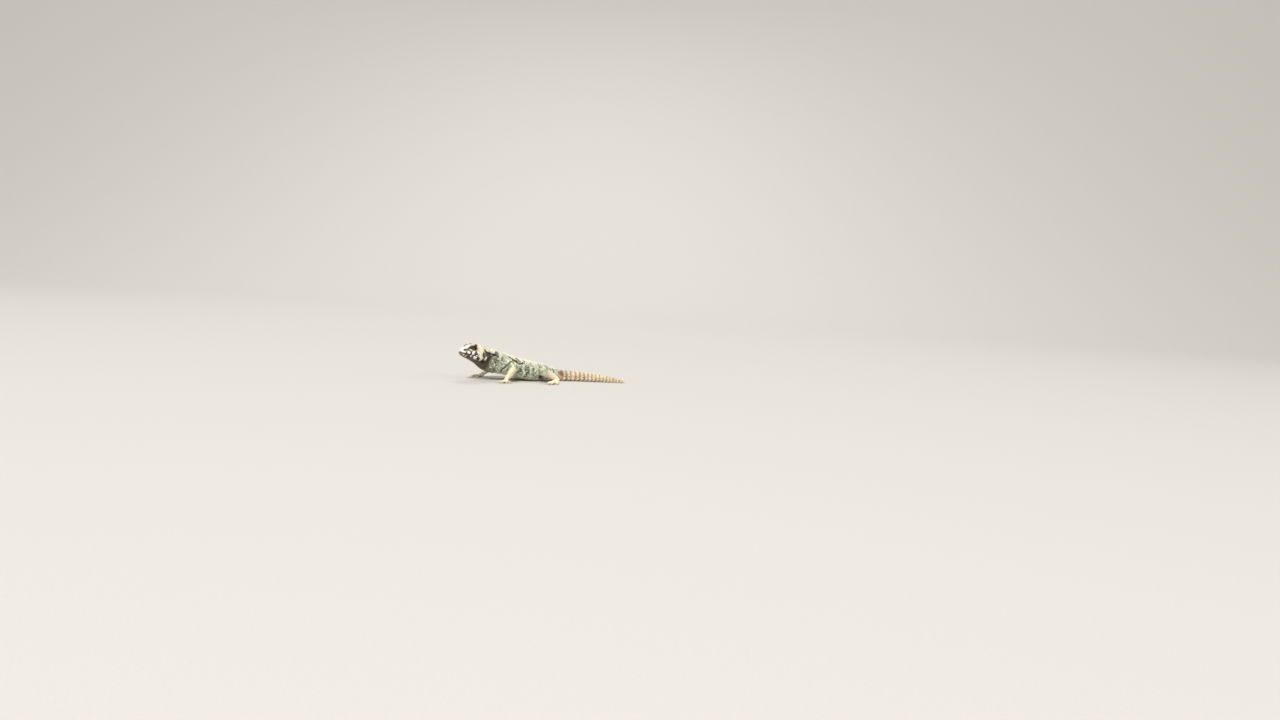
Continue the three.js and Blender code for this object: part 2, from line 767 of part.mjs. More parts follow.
// The whole animal, parted with thin cuts.
const trunk = solid(trunkSkin(0)).subtract(floor);
const torsoRoom = solid(trunkSkin(GAP));
const SIDE_REACH = 200; // further than the body reaches on either side of its cuts
const SIDE_WIDTH = 500;
const NECK_FRONT = 46.5;
const NECK_REAR = 60;
// Everything of the body on the head's side of a place, or on the tail's side of it.
function sideOf(s, towardsTail) {
  const along = bodyPoint(s + 1, 0, 0).sub(bodyPoint(s - 1, 0, 0)).normalize();
  const shift = ((towardsTail ? 1 : -1) * (SIDE_REACH + GAP)) / 2;
  const point = bodyPoint(s, 0, 0).addScaledVector(along, shift);
  return slab(point, along, SIDE_WIDTH, SIDE_REACH);
}

const headAndNeck = headParts(trunk.intersect(sideOf(NECK_FRONT, false)));
const nodes = {};
for (const [name, m] of Object.entries(headAndNeck)) {
  nodes[name] = m.intersect(sideOf(NECK_FRONT, false));
}
const neckWhole = join([trunk, inHead(skull())]);
nodes.neck = largest(
  neckWhole.intersect(sideOf(NECK_FRONT, true)).intersect(sideOf(NECK_REAR, false)),
);
nodes.torso = largest(
  trunk.intersect(sideOf(NECK_REAR, true)).intersect(sideOf(VENT_AT, false)),
);
nodes.tail = largest(tailSolid().intersect(sideOf(VENT_AT, true)));
for (const leg of LEGS) Object.assign(nodes, legParts(leg, torsoRoom));

const COLOURS = {
  eye: [0x1c1410, 0.15],
  ear: [0x8d7f64, 0.6],
  head: [0xcfc8b0, 0.65],
  jaw: [0xb9b095, 0.65],
  neck: [0x7f8463, 0.7],
  torso: [0x8f9d78, 0.7],
  tail: [0xd9bf95, 0.75],
  upper_arm: [0xa9b48a, 0.7],
  forearm: [0xd2d3a4, 0.7],
  hand: [0xe6dcb4, 0.7],
  thigh: [0xb4bb98, 0.7],
  shank: [0xd6c9a0, 0.7],
  foot: [0xe4d6b4, 0.7],
};
function colourOf(name) {
  const key = Object.keys(COLOURS).find((word) => name.startsWith(word));
  const [color, roughness] = COLOURS[key];
  return new THREE.MeshStandardMaterial({ color, roughness, metalness: 0 });
}

// Places are rounded as the STEP file rounds them, so that no thin triangle falls flat there.
function finished(made) {
  const { numProp, vertProperties, triVerts } = largest(made).simplify(SLIVER).getMesh();
  const rounded = vertProperties.map((place) => Math.round(place / ROUNDING) * ROUNDING);
  return largest(new wasm.Manifold(new wasm.Mesh({ numProp, vertProperties: rounded, triVerts })))
    .simplify(SLIVER)
    .getMesh();
}

const lizard = new THREE.Group();
lizard.name = "uromastyx";
for (const [name, made] of Object.entries(nodes)) {
  const { vertProperties, triVerts } = finished(made);
  const geometry = new THREE.BufferGeometry();
  geometry.setAttribute(
    "position",
    new THREE.BufferAttribute(new Float32Array(vertProperties), 3),
  );
  geometry.setIndex(new THREE.BufferAttribute(new Uint32Array(triVerts), 1));
  geometry.computeVertexNormals();
  const mesh = new THREE.Mesh(geometry, colourOf(name));
  mesh.name = name;
  lizard.add(mesh);
}

export default lizard;
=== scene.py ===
# Ornate spiny-tailed lizard, life size, chest raised on its forelegs and tail laid out behind it.
# Shapes are worked out in millimetres in the frame of the solids and brought to metres at the end.
# The head points to -X, the animal's left side faces -Y, and the floor is at z = 0.

import math

import bmesh
import bpy
import numpy as np
from mathutils import Matrix, Vector
from mathutils.bvhtree import BVHTree
from mathutils.kdtree import KDTree


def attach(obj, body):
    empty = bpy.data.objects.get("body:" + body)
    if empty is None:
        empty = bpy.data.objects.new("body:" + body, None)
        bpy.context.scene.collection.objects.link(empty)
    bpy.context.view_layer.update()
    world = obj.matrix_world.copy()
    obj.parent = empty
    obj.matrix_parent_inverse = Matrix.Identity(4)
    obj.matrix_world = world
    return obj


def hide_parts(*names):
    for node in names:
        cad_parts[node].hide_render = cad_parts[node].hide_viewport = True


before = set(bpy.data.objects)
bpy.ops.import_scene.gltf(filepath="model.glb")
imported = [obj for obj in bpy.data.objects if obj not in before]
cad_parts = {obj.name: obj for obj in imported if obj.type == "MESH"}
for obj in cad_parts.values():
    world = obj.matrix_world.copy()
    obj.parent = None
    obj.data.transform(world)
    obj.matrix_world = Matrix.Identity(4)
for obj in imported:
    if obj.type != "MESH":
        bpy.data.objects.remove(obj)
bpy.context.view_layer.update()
scene = bpy.context.scene

MM = 0.001
DEGREE = math.pi / 180
TURN = 2 * math.pi
SCATTER_SEED = 7
NOISE_SEED = 11
chance = np.random.default_rng(SCATTER_SEED)

# Sizes of the body, the same as the solids'
VENT_AT = 155.0
TAIL_TIP_AT = 265.0
BELLY_MIDDLE_AT = 122.0
TRUNK_FROM = 26.0
TRUNK_TO = VENT_AT + 6
TAIL_FROM = VENT_AT - 6
TAIL_RUN = TAIL_TIP_AT - TAIL_FROM
HEAD_SEAT_AT = 38.0
HEAD_AXIS_HEIGHT = 36.5
HEAD_PITCH = 9.0
HEAD_SCALE = 1.15  # the head is built this much larger than its tables
COAT = 0.28  # how far the skin lies inside the solids, to leave room for the scales
FLOOR_CLEAR = 0.26  # lowest skin, so that the scales under it just meet the floor
LOWEST = {"scales": 0.03, "claws": 0.02, "spine tips": 0.12}

# Backbone seen from above: direction in degrees from +X, at distances behind the snout
BEND = [[0, 14], [30, 13], [60, 6], [105, 0], [155, -5], [210, -17], [266, -27]]
# Distance behind the snout, half width, height of the back and of the belly
BODY = [
    [26, 10.5, 44.8, 25.0],
    [34, 14.0, 46.6, 18.0],
    [41, 15.6, 47.2, 13.4],
    [48, 17.4, 46.8, 10.6],
    [55, 19.6, 45.6, 9.2],
    [63, 22.2, 43.6, 8.6],
    [72, 24.8, 40.8, 7.4],
    [83, 27.4, 37.0, 5.2],
    [95, 29.6, 33.4, 2.6],
    [110, 29.8, 30.0, -0.2],
    [125, 26.8, 27.0, -1.0],
    [138, 21.4, 23.8, -0.9],
    [149, 16.0, 20.2, -0.8],
    [157, 12.6, 17.0, -0.7],
    [166, 10.6, 14.8, -0.6],
    [185, 9.9, 13.4, -0.6],
    [205, 8.8, 11.8, -0.5],
    [225, 7.4, 10.0, -0.5],
    [243, 5.4, 7.4, -0.4],
    [256, 3.3, 4.9, -0.3],
    [265, 0.9, 2.0, 0.1],
]
WIDEST_SHARE = 0.4
TRUNK_SQUARENESS = 2.35
TAIL_SQUARENESS = 2.2
GIRTH_SQUARENESS = 2.2
TRUNK_CAP = 0.02  # shares of the length in which the ends are rounded off
TAIL_CAPS = [0.02, 0.012]
NECK_FOLD = {"from": 41, "to": 65, "step": 7.2, "depth": 0.75}

# Head: distance behind the snout's tip, half width, top and throat above the head's own axis
HEAD = [
    [0, 0.0, -0.6, -1.8],
    [0.8, 3.3, 1.8, -3.6],
    [2.6, 5.5, 4.0, -5.2],
    [5.5, 7.4, 5.9, -6.5],
    [10, 9.6, 8.3, -7.8],
    [15, 11.6, 10.9, -8.9],
    [20, 13.4, 12.2, -10.3],
    [26, 14.8, 11.9, -12.4],
    [31, 15.0, 11.0, -14.0],
    [36, 14.5, 9.9, -14.4],
    [42, 10.4, 8.0, -11.0],
    [46, 0.0, 0.0, 0.0],
]
HEAD_LENGTH = 46.0
HEAD_SQUARENESS = 2.5
HEAD_WIDEST_SHARE = 0.42
HEAD_RINGS = [0.42, 0.58]  # shares of even rings, and of rings that crowd at the head's two ends
# Soft swellings of the skull: where, how far they spread and how high they rise
SWELLINGS = [
    ([15.4, 7.6, 10.6], [5.8, 3.0, 2.6], 2.1),  # brow
    ([25.5, 12.8, -4.2], [6.5, 8.0, 5.0], 1.9),  # jaw muscle
    ([3.6, 5.8, 2.6], [2.6, 3.0, 2.2], 0.5),  # round the nostril
    ([8.6, 8.8, 3.0], [4.2, 3.4, 2.6], -0.6),  # hollow before the eye
]
EYE = np.array([14.4, 7.0, 6.3])
EYE_RADIUS = 3.75
EYE_AHEAD = 14 * DEGREE
LID = {"radii": [5.3, 4.8, 4.4], "open": [3.1, 2.1], "slant": 8 * DEGREE}
EAR = {"at": 34.8, "up": -3.4, "wide": 1.9, "tall": 4.4, "slant": 34 * DEGREE}
NOSTRIL = np.array([3.6, 5.8, 2.1])
LIPS = [[-4, -1.0], [0, -1.1], [3, -1.8], [7, -2.3], [12, -2.4], [17, -3.1], [21, -4.4]]
MOUTH_CORNER = 21.0

# Legs: joints as distance behind the snout, distance out from the backbone, and height
FORE_RADII = [
    [0, 8.0], [0.15, 7.2], [0.27, 5.5], [0.34, 5.1], [0.42, 5.4], [0.56, 4.0], [0.68, 3.2], [1, 2.4],
]
HIND_RADII = [
    [0, 7.6], [0.08, 8.6], [0.17, 8.8], [0.26, 7.5], [0.34, 6.3],
    [0.42, 6.4], [0.52, 4.9], [0.61, 3.7], [0.68, 3.5], [1, 2.6],
]
LEG_CAPS = [0.11, 0.05]
THINNEST = 0.3
LEG_TENSION = 0.4
LEG_BREADTH = [0.94, 1.04]  # half width and half height of a leg, in its radii
PALM_SUNK = 0.25
PALM_AHEAD = 0.9  # the palm's middle before the last joint, in its own half lengths
DIGIT_ROOT = {"ahead": 0.3, "out": 0.35}  # in half lengths and half widths of the palm
DIGIT_RISE = {"root": 0.9, "knuckle": 2.2, "knuckle at": 0.55, "tip": 0.72}
DIGIT_SHAPE = {"slimmer": 0.12, "taper": 0.2, "cap": 0.16, "knuckles": 3, "swell": 0.06}
CLAW_BEND = {"back": 2.2, "root": 0.85, "middle": 1.25, "tip": 0.3}
CLAW_SHAPE = {"wide": 0.62, "taper": 0.88, "cap": 0.12, "flat": 0.74, "least": 0.02}
HAND = {
    "palm": [5.3, 4.4, 2.7],
    "digits": [(-62, 8.4), (-32, 11.8), (-4, 13.4), (24, 12.8), (56, 9.4)],
    "radius": 1.38,
    "claw": 3.6,
}
FOOT = {
    "palm": [7.4, 5.0, 3.1],
    "digits": [(-44, 8.4), (-23, 12.2), (-4, 15.8), (16, 18.0), (52, 11.0)],
    "radius": 1.6,
    "claw": 4.2,
}
LEGS = [
    {"side": 1, "joints": [[64, 13, 26], [75, 33, 19.5], [62, 39.5, 5.4]], "toes": 50,
     "radii": FORE_RADII, "paw": HAND},
    {"side": -1, "joints": [[64, 13, 26], [73, 33, 19.5], [58, 38.5, 5.4]], "toes": -24,
     "radii": FORE_RADII, "paw": HAND},
    {"side": 1, "joints": [[143, 9, 11.8], [122, 40, 18.5], [144, 48.5, 6.6]], "toes": 46,
     "radii": HIND_RADII, "paw": FOOT},
    {"side": -1, "joints": [[143, 9, 11.8], [126, 40.5, 18.5], [150, 47, 6.6]], "toes": 52,
     "radii": HIND_RADII, "paw": FOOT},
]

# Tail whorls
WHORLS = 17
FIRST_WHORL_AT = VENT_AT + 5
WHORL_STEP_LAST_SHARE = 0.56
WHORL_SWELL = 0.1
WHORL_RISE = [0.05, 0.8]
WHORL_FALL = [0.86, 1.0]
TAIL_TIP_BARE = 3.0


# Curves and places

def read(rows, x):
    """A smooth curve through the rows of a table, read at each distance x along its first column."""
    rows = np.asarray(rows, float)
    x = np.atleast_1d(np.asarray(x, float))
    i = np.clip(np.searchsorted(rows[1:, 0], x, side="left"), 0, len(rows) - 2)
    p, q = rows[i], rows[i + 1]
    before = rows[np.maximum(i - 1, 0)]
    after = rows[np.minimum(i + 2, len(rows) - 1)]
    h = q[:, :1] - p[:, :1]
    t = np.clip((x[:, None] - p[:, :1]) / h, 0, 1)
    inward = (q[:, 1:] - before[:, 1:]) / (q[:, :1] - before[:, :1]) * h
    outward = (after[:, 1:] - p[:, 1:]) / (after[:, :1] - p[:, :1]) * h
    delta = q[:, 1:] - p[:, 1:]
    cubic = t * t * (3 * delta - 2 * inward - outward) + t ** 3 * (inward + outward - 2 * delta)
    return p[:, 1:] + t * inward + cubic


def smooth(low, high, x):
    t = np.clip((x - low) / (high - low), 0, 1)
    return t * t * (3 - 2 * t)


def bell(x, width):
    return np.exp(-((x / width) ** 2))


def unit(v):
    return v / np.maximum(np.linalg.norm(v, axis=-1, keepdims=True), 1e-9)


STEP = 0.5
steps_at = np.arange(0, TAIL_TIP_AT + 5, STEP)
headings = read(BEND, steps_at)[:, 0] * DEGREE
backbone = np.zeros((len(steps_at) + 1, 2))
backbone[1:] = np.cumsum(STEP * np.stack([np.cos(headings), np.sin(headings)], 1), 0)
backbone_at = np.arange(len(backbone)) * STEP


def plan_point(s):
    return np.stack([np.interp(s, backbone_at, backbone[:, k]) for k in (0, 1)], -1)


ORIGIN = plan_point(BELLY_MIDDLE_AT)


def heading(s):
    return read(BEND, np.ravel(s))[:, 0] * DEGREE


def body_point(s, out, z):
    """Places of the body: distance behind the snout, distance out to the left, and height."""
    s, out, z = np.broadcast_arrays(*[np.ravel(np.asarray(v, float)) for v in (s, out, z)])
    a = heading(s)
    x, y = (plan_point(s) - ORIGIN).T
    return np.stack([x + out * np.sin(a), y - out * np.cos(a), z], 1)


def body_coords(points):
    """The opposite of body_point: distance behind the snout, distance out to the left, and height."""
    flat = points[:, :2] + ORIGIN
    s = np.interp(flat[:, 0], backbone[:, 0], backbone_at)
    for _ in range(4):
        a = heading(s)
        ahead = np.stack([np.cos(a), np.sin(a)], 1)
        s = np.clip(s + ((flat - plan_point(s)) * ahead).sum(1), 0, TAIL_TIP_AT + 4)
    a = heading(s)
    left = np.stack([np.sin(a), -np.cos(a)], 1)
    return s, ((flat - plan_point(s)) * left).sum(1), points[:, 2]


def section(angle, half, up, down, squareness):
    c, s = np.cos(angle), np.sin(angle)
    c = np.sign(c) * np.abs(c) ** (2 / squareness)
    s = np.sign(s) * np.abs(s) ** (2 / squareness)
    return half * c, np.where(s > 0, up, down) * s


def body_size(s):
    half, top, bottom = read(BODY, s).T
    middle = bottom + WIDEST_SHARE * (top - bottom)
    return half, middle, top - middle, middle - bottom


def around_body(s, out, z):
    """The angle round the body, 90 degrees on the back's ridge, and how far out of its surface."""
    half, middle, up, down = body_size(s)
    across, rise = out / half, (z - middle) / np.where(z > middle, up, down)
    power = GIRTH_SQUARENESS
    reach = (np.abs(across) ** power + np.abs(rise) ** power) ** (1 / power)
    return np.arctan2(rise, across), reach


def neck_fold(s, angle):
    share = np.clip((s - NECK_FOLD["from"]) / (NECK_FOLD["to"] - NECK_FOLD["from"]), 0, 1)
    wave = np.cos(TURN * (s - NECK_FOLD["from"]) / NECK_FOLD["step"]) - 1
    below = 0.5 - 0.5 * np.sin(angle)
    return NECK_FOLD["depth"] * np.sin(np.pi * share) * wave * np.sqrt(below)


def trunk(share, angle):
    s = TRUNK_FROM + share * (TRUNK_TO - TRUNK_FROM)
    half, middle, up, down = body_size(s)
    round_off = np.sqrt(np.clip(np.minimum(share, 1 - share) / TRUNK_CAP, 0, 1))
    grow = neck_fold(s, angle) - COAT
    sizes = [(size + grow) * round_off for size in (half, up, down)]
    out, rise = section(angle, *sizes, TRUNK_SQUARENESS)
    return body_point(s, out, middle + rise)


def whorl_ends():
    steps = 1 - (1 - WHORL_STEP_LAST_SHARE) * np.arange(WHORLS) / (WHORLS - 1)
    room = TAIL_TIP_AT - TAIL_TIP_BARE - FIRST_WHORL_AT
    return FIRST_WHORL_AT + np.cumsum(steps) / steps.sum() * room


ENDS = whorl_ends()
STARTS = np.concatenate([[FIRST_WHORL_AT], ENDS[:-1]])


def whorl_share(s):
    """Which whorl a place of the tail is on, and how far along it, from 0 at its front to 1 at its rear."""
    k = np.clip(np.searchsorted(ENDS, s), 0, WHORLS - 1)
    return k, np.clip((s - STARTS[k]) / (ENDS[k] - STARTS[k]), 0, 1)


def tail(share, angle):
    s = TAIL_FROM + share * TAIL_RUN
    half, middle, up, down = body_size(s)
    along = whorl_share(s)[1]
    wave = smooth(*WHORL_RISE, along) - smooth(*WHORL_FALL, along)
    swell = 1 + WHORL_SWELL * wave * (s > FIRST_WHORL_AT)
    round_off = np.sqrt(np.clip(np.minimum(share / TAIL_CAPS[0], (1 - share) / TAIL_CAPS[1]), 0, 1))
    out, rise = section(
        angle, (half - COAT) * swell * round_off, (up - COAT) * swell * round_off,
        (down - COAT) * round_off, TAIL_SQUARENESS,
    )
    return body_point(s, out, middle + rise)


# The head's own frame: X back from the snout's tip, Y to the animal's left, Z up

def head_frame():
    yaw = heading(HEAD_SEAT_AT / 2)[0]
    seat = body_point(HEAD_SEAT_AT, 0, HEAD_AXIS_HEIGHT)[0]
    return np.array(
        Matrix.Translation(seat)
        @ Matrix.Rotation(yaw, 4, "Z")
        @ Matrix.Rotation(HEAD_PITCH * DEGREE, 4, "Y")
        @ Matrix.Translation((-HEAD_SEAT_AT, 0, 0))
        @ Matrix.Diagonal((HEAD_SCALE, -HEAD_SCALE, HEAD_SCALE, 1))
    )


HEAD_FRAME = head_frame()
HEAD_BACK = np.linalg.inv(HEAD_FRAME)


def from_head(points):
    return points @ HEAD_FRAME[:3, :3].T + HEAD_FRAME[:3, 3]


def to_head(points):
    return points @ HEAD_BACK[:3, :3].T + HEAD_BACK[:3, 3]


def skull_size(at):
    half, top, throat = read(HEAD, at).T
    middle = throat + HEAD_WIDEST_SHARE * (top - throat)
    return half, middle, top - middle, middle - throat


def one_side(head):
    """Places of the head brought to the animal's left side, because both sides are shaped alike."""
    return np.stack([head[:, 0], np.abs(head[:, 1]), head[:, 2]], 1)


def swelling(points):
    push = np.zeros(len(points))
    for at, reach, rise in SWELLINGS:
        push += rise * np.exp(-(((one_side(points) - at) / reach) ** 2).sum(1))
    return push


def skull(share, angle):
    eased = share * share * (3 - 2 * share)
    at = HEAD_LENGTH * (HEAD_RINGS[0] * share + HEAD_RINGS[1] * eased)
    half, middle, up, down = skull_size(at)
    shrink = np.minimum(COAT / HEAD_SCALE, half * 0.5)
    out, rise = section(angle, half - shrink, up - shrink, down - shrink, HEAD_SQUARENESS)
    points = np.stack([at, out, middle + rise], 1)
    outward = unit(np.stack([np.zeros_like(out), out, rise], 1))
    return from_head(points + outward * swelling(points)[:, None])


def ellipsoid(centre, radii, turn=0.0):
    """A ball drawn out to three radii, turned about Z."""
    def place(share, angle):
        ring = np.sin(share * np.pi)
        ball = np.stack([ring * np.cos(angle), ring * np.sin(angle), np.cos(share * np.pi)], 1) * radii
        c, s = math.cos(turn), math.sin(turn)
        spun = np.stack([c * ball[:, 0] - s * ball[:, 1], s * ball[:, 0] + c * ball[:, 1], ball[:, 2]], 1)
        return spun + centre
    return place


# Legs

def leg_curve(points):
    """A curve that passes each point at equal shares of its way, with its direction."""
    points = np.asarray(points, float)
    ends = np.vstack([2 * points[:1] - points[1:2], points, 2 * points[-1:] - points[-2:-1]])

    def at(share):
        t = np.clip(np.ravel(share), 0, 1) * (len(points) - 1)
        i = np.minimum(t.astype(int), len(points) - 2)
        w = (t - i)[:, None]
        a, b, c, d = (ends[i + k] for k in range(4))
        leave, arrive = LEG_TENSION * (c - a), LEG_TENSION * (d - b)
        k2, k3 = -3 * b + 3 * c - 2 * leave - arrive, 2 * b - 2 * c + leave + arrive
        return b + w * leave + w * w * k2 + w ** 3 * k3, unit(leave + 2 * w * k2 + 3 * w * w * k3)
    return at


def bow(a, b, c):
    """A curve from a to c that bends towards b, with its direction."""
    a, b, c = (np.asarray(p, float) for p in (a, b, c))

    def at(share):
        t = np.clip(np.ravel(share), 0, 1)[:, None]
        return (1 - t) ** 2 * a + 2 * t * (1 - t) * b + t * t * c, unit((1 - t) * (b - a) + t * (c - b))
    return at


def ring_axes(ahead):
    across = unit(np.stack([-ahead[:, 1], ahead[:, 0], np.zeros(len(ahead))], 1))
    return across, np.cross(across, ahead)  # the second points down


def tube(curve, wide, tall=None):
    """A skin round a curve, from functions of its share for its half width and half height."""
    def place(share, angle):
        centre, ahead = curve(share)
        across, under = ring_axes(ahead)
        w = wide(share)
        h = w if tall is None else tall(share)
        return centre + across * (w * np.cos(angle))[:, None] + under * (h * np.sin(angle))[:, None]
    return place


def level(angle):
    return np.array([math.cos(angle), math.sin(angle), 0.0])


def set_out(leg):
    """Works out a leg's curve, the middle of its palm and its digits' curves."""
    paw, side = leg["paw"], leg["side"]
    root, middle, end = [body_point(s, side * out, z)[0] for s, out, z in leg["joints"]]
    forward = heading(leg["joints"][2][0])[0] + math.pi + side * leg["toes"] * DEGREE
    palm = end.copy()
    palm[2] = paw["palm"][2] - PALM_SUNK
    palm += level(forward) * paw["palm"][0] * PALM_AHEAD
    leg["palm"], leg["forward"] = palm, forward
    leg["curve"] = leg_curve([root, middle, end, palm])
    leg["toe_curves"] = []
    r = paw["radius"]
    for fan, length in paw["digits"]:
        way = level(forward + side * fan * DEGREE)
        start = palm + level(forward) * paw["palm"][0] * DIGIT_ROOT["ahead"] * math.cos(fan * DEGREE)
        start = start + way * paw["palm"][1] * DIGIT_ROOT["out"]
        toe = [
            (0, r + DIGIT_RISE["root"]),
            (length * DIGIT_RISE["knuckle at"], r + DIGIT_RISE["knuckle"]),
            (length, r * DIGIT_RISE["tip"]),
        ]
        claw = [
            (length - CLAW_BEND["back"], r * CLAW_BEND["root"]),
            (length + paw["claw"] / 2, r * CLAW_BEND["middle"]),
            (length + paw["claw"], CLAW_BEND["tip"]),
        ]
        leg["toe_curves"].append([
            bow(*[[*(start + way * ahead)[:2], height] for ahead, height in rows]) for rows in (toe, claw)
        ])


for leg in LEGS:
    set_out(leg)


def leg_radius(leg, part):
    def radius(share):
        share = np.ravel(share)
        round_off = np.clip(np.minimum(share / LEG_CAPS[0], (1 - share) / LEG_CAPS[1]), 0, 1)
        return np.maximum(read(leg["radii"], share)[:, 0] - COAT, THINNEST) * np.sqrt(round_off) * part
    return radius


def toe_radius(paw):
    def radius(share):
        share = np.ravel(share)
        round_off = np.sqrt(np.clip(np.minimum(share, 1 - share) / DIGIT_SHAPE["cap"], 0, 1))
        knuckles = 1 + DIGIT_SHAPE["swell"] * np.cos(TURN * DIGIT_SHAPE["knuckles"] * share)
        slim = paw["radius"] - DIGIT_SHAPE["slimmer"]
        return slim * (1 - DIGIT_SHAPE["taper"] * share) * knuckles * round_off
    return radius


# Every part of the flesh as a surface, with how finely it is drawn: name, sides, rings, surface
PARTS = [("head", 72, 84, skull), ("trunk", 110, 190, trunk), ("tail", 64, 260, tail)]
for k, leg in enumerate(LEGS):
    PARTS.append((f"leg{k}", 40, 90, tube(leg["curve"], *[leg_radius(leg, part) for part in LEG_BREADTH])))
    PARTS.append((f"palm{k}", 32, 20, ellipsoid(leg["palm"], leg["paw"]["palm"], leg["forward"])))
    for j, (toe, _) in enumerate(leg["toe_curves"]):
        PARTS.append((f"toe{k}{j}", 20, 26, tube(toe, toe_radius(leg["paw"]))))


# Meshes

def shape(around, along, place):
    """Draws a closed surface: a ball whose share from pole to pole and angle are placed by a function."""
    bm = bmesh.new()
    made = bmesh.ops.create_uvsphere(bm, u_segments=around, v_segments=along, radius=1)["verts"]
    ball = np.array([v.co for v in made])
    share = np.arccos(np.clip(ball[:, 2], -1, 1)) / np.pi
    for v, point in zip(made, place(share, np.arctan2(ball[:, 1], ball[:, 0]))):
        v.co = point
    bmesh.ops.recalc_face_normals(bm, faces=bm.faces[:])
    return bm


def joined(shapes):
    """All the shapes in one bmesh, in their order."""
    whole = bmesh.new()
    for bm in shapes:
        mesh = bpy.data.meshes.new("part")
        bm.to_mesh(mesh)
        bm.free()
        whole.from_mesh(mesh)
        bpy.data.meshes.remove(mesh)
    return whole


def add_object(name, bm=None, mesh=None):
    if mesh is None:
        mesh = bpy.data.meshes.new(name)
        bm.to_mesh(mesh)
        bm.free()
    piece = bpy.data.objects.new(name, mesh)
    scene.collection.objects.link(piece)
    return piece


def smoothed(piece):
    for polygon in piece.data.polygons:
        polygon.use_smooth = True
    return piece


def to_metres(piece):
    piece.data.transform(Matrix.Scale(MM, 4))
    return smoothed(piece)


def places(verts):
    return np.array([v.co for v in verts])


def normals(verts):
    return np.array([v.normal for v in verts])


def move(verts, points):
    for v, point in zip(verts, points):
        v.co = point


# Skin: every part joined in one surface, softened at the joins, with the head's detail on it

VOXEL = 0.875
NEAR_HEAD = 40.0  # the skin is finer up to here on the head
SOFTENED = {"all": 2, "joins": 9, "finer": 2}  # times that the skin is smoothed
LEG_JOIN = {"share": 0.3, "radii": 1.9}
HEAD_JOIN = {"from": 28, "to": 46, "side": 18, "off legs": 1.3}
EAR_SIDE = 7.0  # the ears lie farther out than this
LOWER_LID_SHARE = 0.85  # how far the opening reaches down, in shares of how far it reaches up
LID_BEHIND = 0.75  # how far inside the eyeball's surface the skin behind the opening lies
# Ridges and grooves of the head: how high they rise, where they lie and how wide they are
LIP_RIDGES = [(0.42, 0.9, 0.75), (0.36, -0.95, 0.75), (-0.75, 0.0, 0.34)]
NOSTRIL_RIDGES = [(0.34, 1.4, 0.5), (-1.35, 0.0, 0.75)]
EAR_RIDGES = [(0.18, 1.22, 0.2)]
EAR_CUP = {"depth": 1.3, "floor": 0.55}
LID_RIDGES = [(0.22, 1.13, 0.1), (-0.26, 1.36, 0.07), (0.12, 1.52, 0.09), (-0.24, 1.74, 0.07)]


def ridges(away, rows):
    return sum(rise * bell(away - at, width) for rise, at, width in rows)


def lip_height(u):
    return read(LIPS, u)[:, 0]


def eye_axes():
    """The left eye's own directions in the head's frame: along the slit, up, and out."""
    out = np.array([-math.sin(EYE_AHEAD), 1.0, 0.06])
    out /= np.linalg.norm(out)
    along = np.cross(out, [0, 0, 1.0])
    along /= np.linalg.norm(along)
    up = np.cross(along, out)
    c, s = math.cos(LID["slant"]), math.sin(LID["slant"])
    return c * along - s * up, s * along + c * up, out


SLIT, LID_UP, EYE_OUT = eye_axes()


def eye_place(head):
    """Places of the head about the eye of their side: along the slit, up, out, and share of the opening."""
    near = one_side(head) - EYE
    along, up, out = near @ SLIT, near @ LID_UP, near @ EYE_OUT
    half, tall = LID["open"]
    return along, up, out, np.hypot(along / half, up / (tall * np.where(up > 0, 1, LOWER_LID_SHARE)))


def ear_place(head):
    """Places about the ear's opening: across it towards the back, and up along it."""
    c, s = math.cos(EAR["slant"]), math.sin(EAR["slant"])
    back, up = head[:, 0] - EAR["at"], head[:, 2] - EAR["up"]
    return c * back - s * up, s * back + c * up


def ear_share(head):
    across, along = ear_place(head)
    return np.hypot(across / EAR["wide"], along / EAR["tall"])


def from_nostril(head):
    return np.linalg.norm(one_side(head) - NOSTRIL, axis=1)


def detail(head):
    """True near the lids, lips, nostrils and ears, where the skin is drawn finest."""
    _, _, out, share = eye_place(head)
    eye = (share < 2.1) & (out > 0)
    lips = (np.abs(head[:, 2] - lip_height(head[:, 0])) < 1.8) & (head[:, 0] < MOUTH_CORNER + 2)
    ear = (ear_share(head) < 1.6) & (np.abs(head[:, 1]) > EAR_SIDE)
    return eye | lips | (from_nostril(head) < 2.2) | ear


def head_relief(head):
    """How far the head's skin stands out or in: lips, nostrils, ear cups, lid folds and wrinkles."""
    u, side, w = one_side(head).T
    in_mouth = smooth(MOUTH_CORNER + 0.8, MOUTH_CORNER - 1.5, u)
    rise = in_mouth * ridges(w - lip_height(u), LIP_RIDGES)
    rise += ridges(from_nostril(head), NOSTRIL_RIDGES)
    ear = np.where(side > EAR_SIDE, ear_share(head), 9)
    rise += ridges(ear, EAR_RIDGES) - EAR_CUP["depth"] * (1 - smooth(EAR_CUP["floor"], 1.0, ear))
    _, _, out, share = eye_place(head)
    rise += smooth(0.5, 2.5, out) * ridges(share, LID_RIDGES)
    corner = np.hypot(u - MOUTH_CORNER - 1.6, w - lip_height(np.full_like(u, MOUTH_CORNER)))
    rise -= 0.14 * bell(corner - 1.4, 0.6) * smooth(MOUTH_CORNER, MOUTH_CORNER + 2, u) * (side > 6)
    return rise


